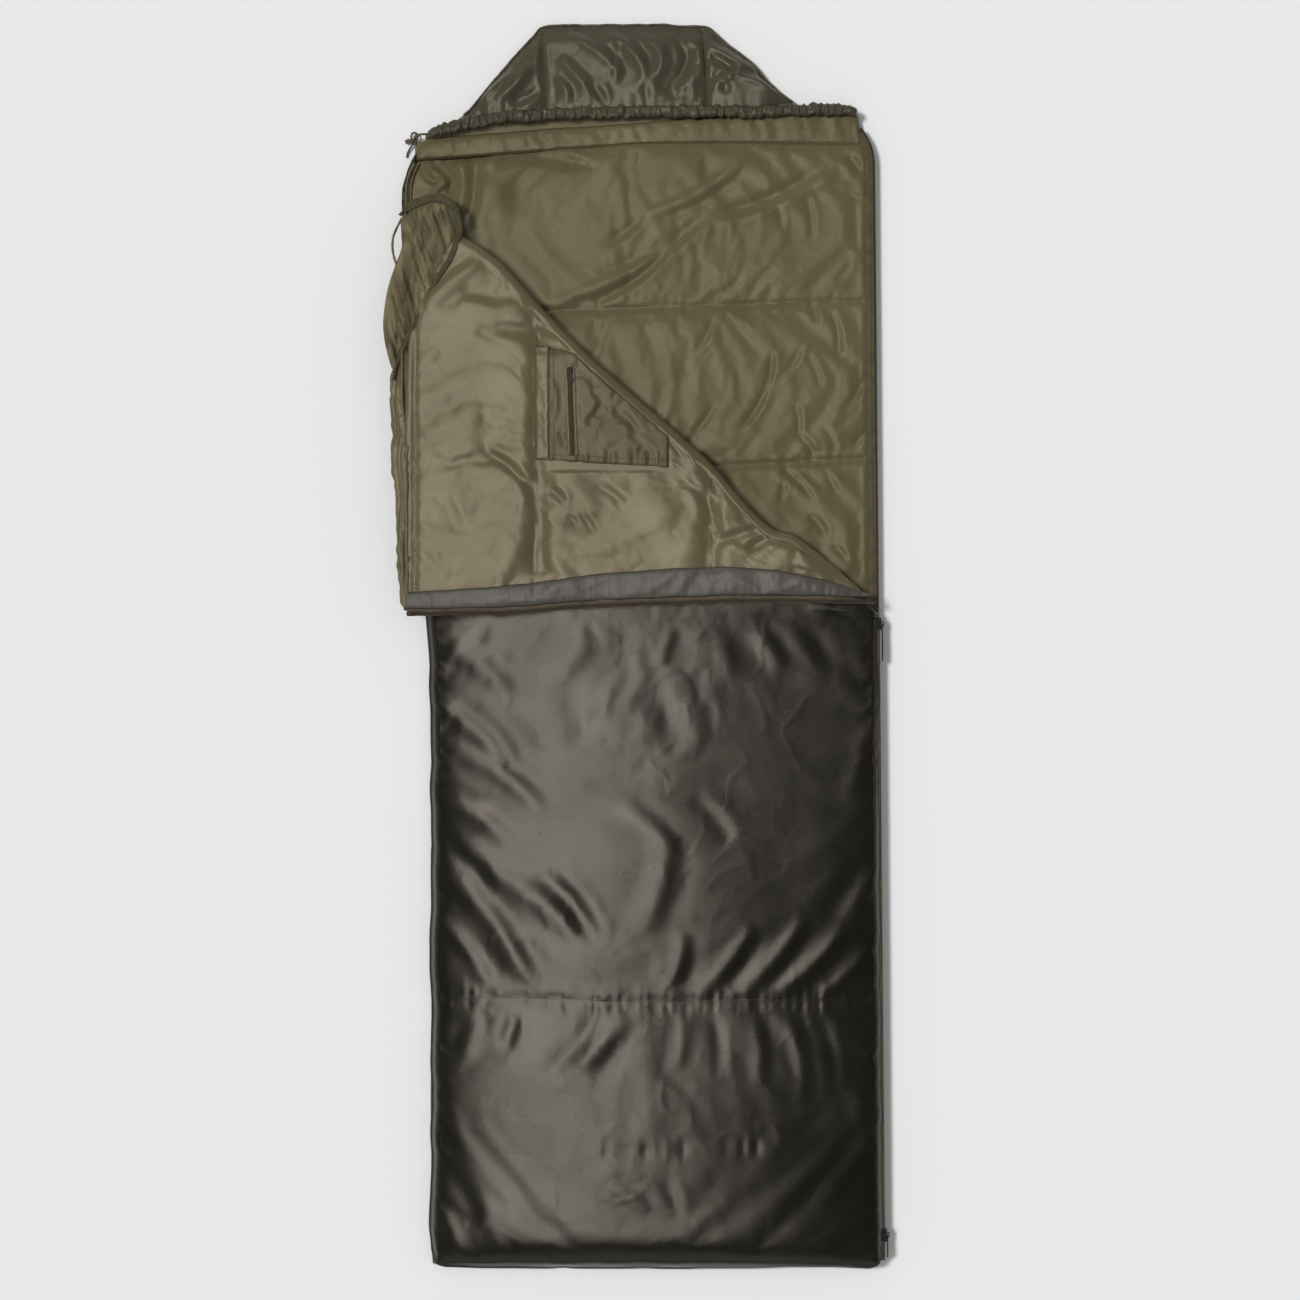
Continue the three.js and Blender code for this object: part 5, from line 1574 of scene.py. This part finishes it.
def nearest_level(line, level):
    """Height of a strip that keeps the height of its middle line across its width."""

    def height(x, y):
        out = np.empty(x.shape)
        for place in np.ndindex(x.shape):
            out[place] = level[np.argmin((line[:, 0] - x[place]) ** 2 + (line[:, 1] - y[place]) ** 2)]
        return out

    return height


# ---------------------------------------------------------------- side zip
ZIP_BEND_Y, ZIP_BEND_LENGTH, ZIP_BEND_IN = 885, 66, 26  # from here, over this length, by this much
ZIP_ROWS, ZIP_STITCH_ROW = 640, 330  # the stitches start at this row, where the corner is open
ZIP_BACK_WIDTH, ZIP_FRONT_WIDTH = 16, 14  # from the zip line to the inner edges of the tapes
RIM_FROM_Y = 700  # the rim and the piping beside the net start here


def zip_edge(y):
    """The zip line, which bends inwards below the hood."""
    share = np.clip((np.asarray(y, float) - ZIP_BEND_Y) / ZIP_BEND_LENGTH, 0, 1.3)
    return zip_x(y) - ZIP_BEND_IN * share**2.2


def zip_half(tape_name, side, x, y, level, width, coil_ahead, coil_above):
    """One tape of the side zip, and its coil. Returns the coil's line."""
    strip = laid_strip(
        tape_name, np.column_stack([x + 2.3, y]), np.column_stack([x - width, y]), 6,
        lambda px, py: np.interp(py, y, level), 0.1, 0.6, "side_tape", "bag",
    )
    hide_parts(f"zip_tape_{side}")
    line = np.column_stack([x - 1.6, y + coil_ahead, level + coil_above])
    coil = teeth(f"zip_teeth_{side}", line, "bag", 1, reach=3.5, height=3.6)
    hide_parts(f"zip_coil_{side}")
    return line


def make_zip():
    y = np.linspace(FOOT_Y + 13, BACK_HIGH[1] - 21.5, ZIP_ROWS)
    x = zip_edge(y) + 0.2 * wobble(y, 36, 101)
    level = TAPE_BACK_Z - 0.15 + 0.1 * wobble(y, 50, 102)
    line_end = zip_half("zip_tape_lower", "back", x, y, level, ZIP_BACK_WIDTH, 0, 2.2)[-1]
    row = np.column_stack([x - 6.5, y, level + 0.8])[ZIP_STITCH_ROW:]
    stitches("stitch_zip_back", row, "bag", radius=0.5)

    closed = y < FOLD_POINT[1] - 22
    y, x = y[closed], x[closed]
    level = TAPE_FRONT_Z + 0.75 + 0.1 * wobble(y, 50, 103)
    zip_half("zip_tape_upper", "front", x, y, level, ZIP_FRONT_WIDTH, 1.3, -2.9)
    foot_end = (zip_x(FOOT_Y + 20) + 1, FOOT_Y + 20, ZIP_Z)
    make_stop("zip_foot_stop", "zip_bottom_stop", foot_end, "bag", (2.2, 2.5, 4.5))
    make_stop("zip_head_stop", "zip_top_stop_back", line_end, "bag")
    low, high = box("draft_tube_lower")
    y = np.linspace(low[1], high[1] - 10, 200)
    line = np.column_stack([zip_x(y) - 31, y, np.full(len(y), (low[2] + high[2]) / 2)])
    tube = sweep("zip_draft_tube", line, 20, 2.6, "draft", "bag", around=16, gather=0.3, size=30)
    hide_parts("draft_tube_lower")


def make_left_edge():
    """Piping of the back panel that shows beside the net."""
    y = np.linspace(RIM_FROM_Y, 888, 120)
    x = left_x(y) + 4.5 + 1.4 * wobble(y, 50, 111) + corner_in(y)
    line = np.column_stack([x, y, 17.5 + 1.2 * wobble(y, 26, 112)])
    sweep("back_piping", line, 2.2, 2.4, "lining", "bag", around=10, gather=0.4, size=10)
    line = line + np.array([7.5, 0, -2.0])
    sweep("back_piping_inner", line, 1.7, 2.0, "lining", "bag", around=10, gather=0.4, size=10)


def make_rim():
    """The edge of the back shell, which shows round the upper left corner."""
    y = np.linspace(RIM_FROM_Y, 912, 160)
    x = left_x(y) + 0.5 + corner_in(y) + 1.2 * wobble(y, 30, 113)
    line = np.column_stack([x, y, np.full(len(y), 12.5)])
    sweep("back_shell_rim", line, 3.2, 4.2, "shell", "bag", around=12, gather=0.5, size=12)


def make_stop(name, node, place, body, half=(3.0, 2.2, 2.6)):
    """A small crimped block at the end of a zip."""
    corners = [(-1, -0.6), (-0.6, -1), (0.6, -1), (1, -0.6), (1, 0.6), (0.6, 1), (-0.6, 1), (-1, 0.6)]
    vertices, faces = [], []
    for level, size in ((-1, 0.8), (-0.7, 1), (0.7, 1), (1, 0.8)):
        for a, b in corners:
            offset = np.array([a * size * half[0], b * size * half[1], level * half[2]])
            vertices.append(np.array(place) + offset)
    for ring in range(3):
        for j in range(8):
            a, b = ring * 8 + j, ring * 8 + (j + 1) % 8
            faces.append((a, b, b + 8, a + 8))
    faces += [tuple(reversed(range(8))), tuple(range(24, 32))]
    piece = new_mesh(name, vertices, faces, "coil", body)
    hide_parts(node)


# ---------------------------------------------------------------- metal parts kept from the solid model
ZIP_NAMES = ("main", "foot", "pocket")


def finish_small_parts():
    nodes = {f"{zip_name}_zip_{part}" for zip_name in ZIP_NAMES for part in ("slider", "pull")}
    for piece in bpy.context.scene.objects:
        if piece.get("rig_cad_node", "") in nodes:
            piece.data.materials.clear()
            piece.data.materials.append(MATERIALS["metal"])


make_camera()
make_materials()
make_floor()
make_light()
make_front()
make_neck(make_back())
make_rim()
make_left_edge()
make_hood()
make_drawcord()
flap = make_flap()
flap_ground = make_flap_edges(flap)
make_pocket(flap_ground, flap)
make_net()
make_zip()
finish_small_parts()

bpy.context.scene.view_settings.view_transform = "Standard"
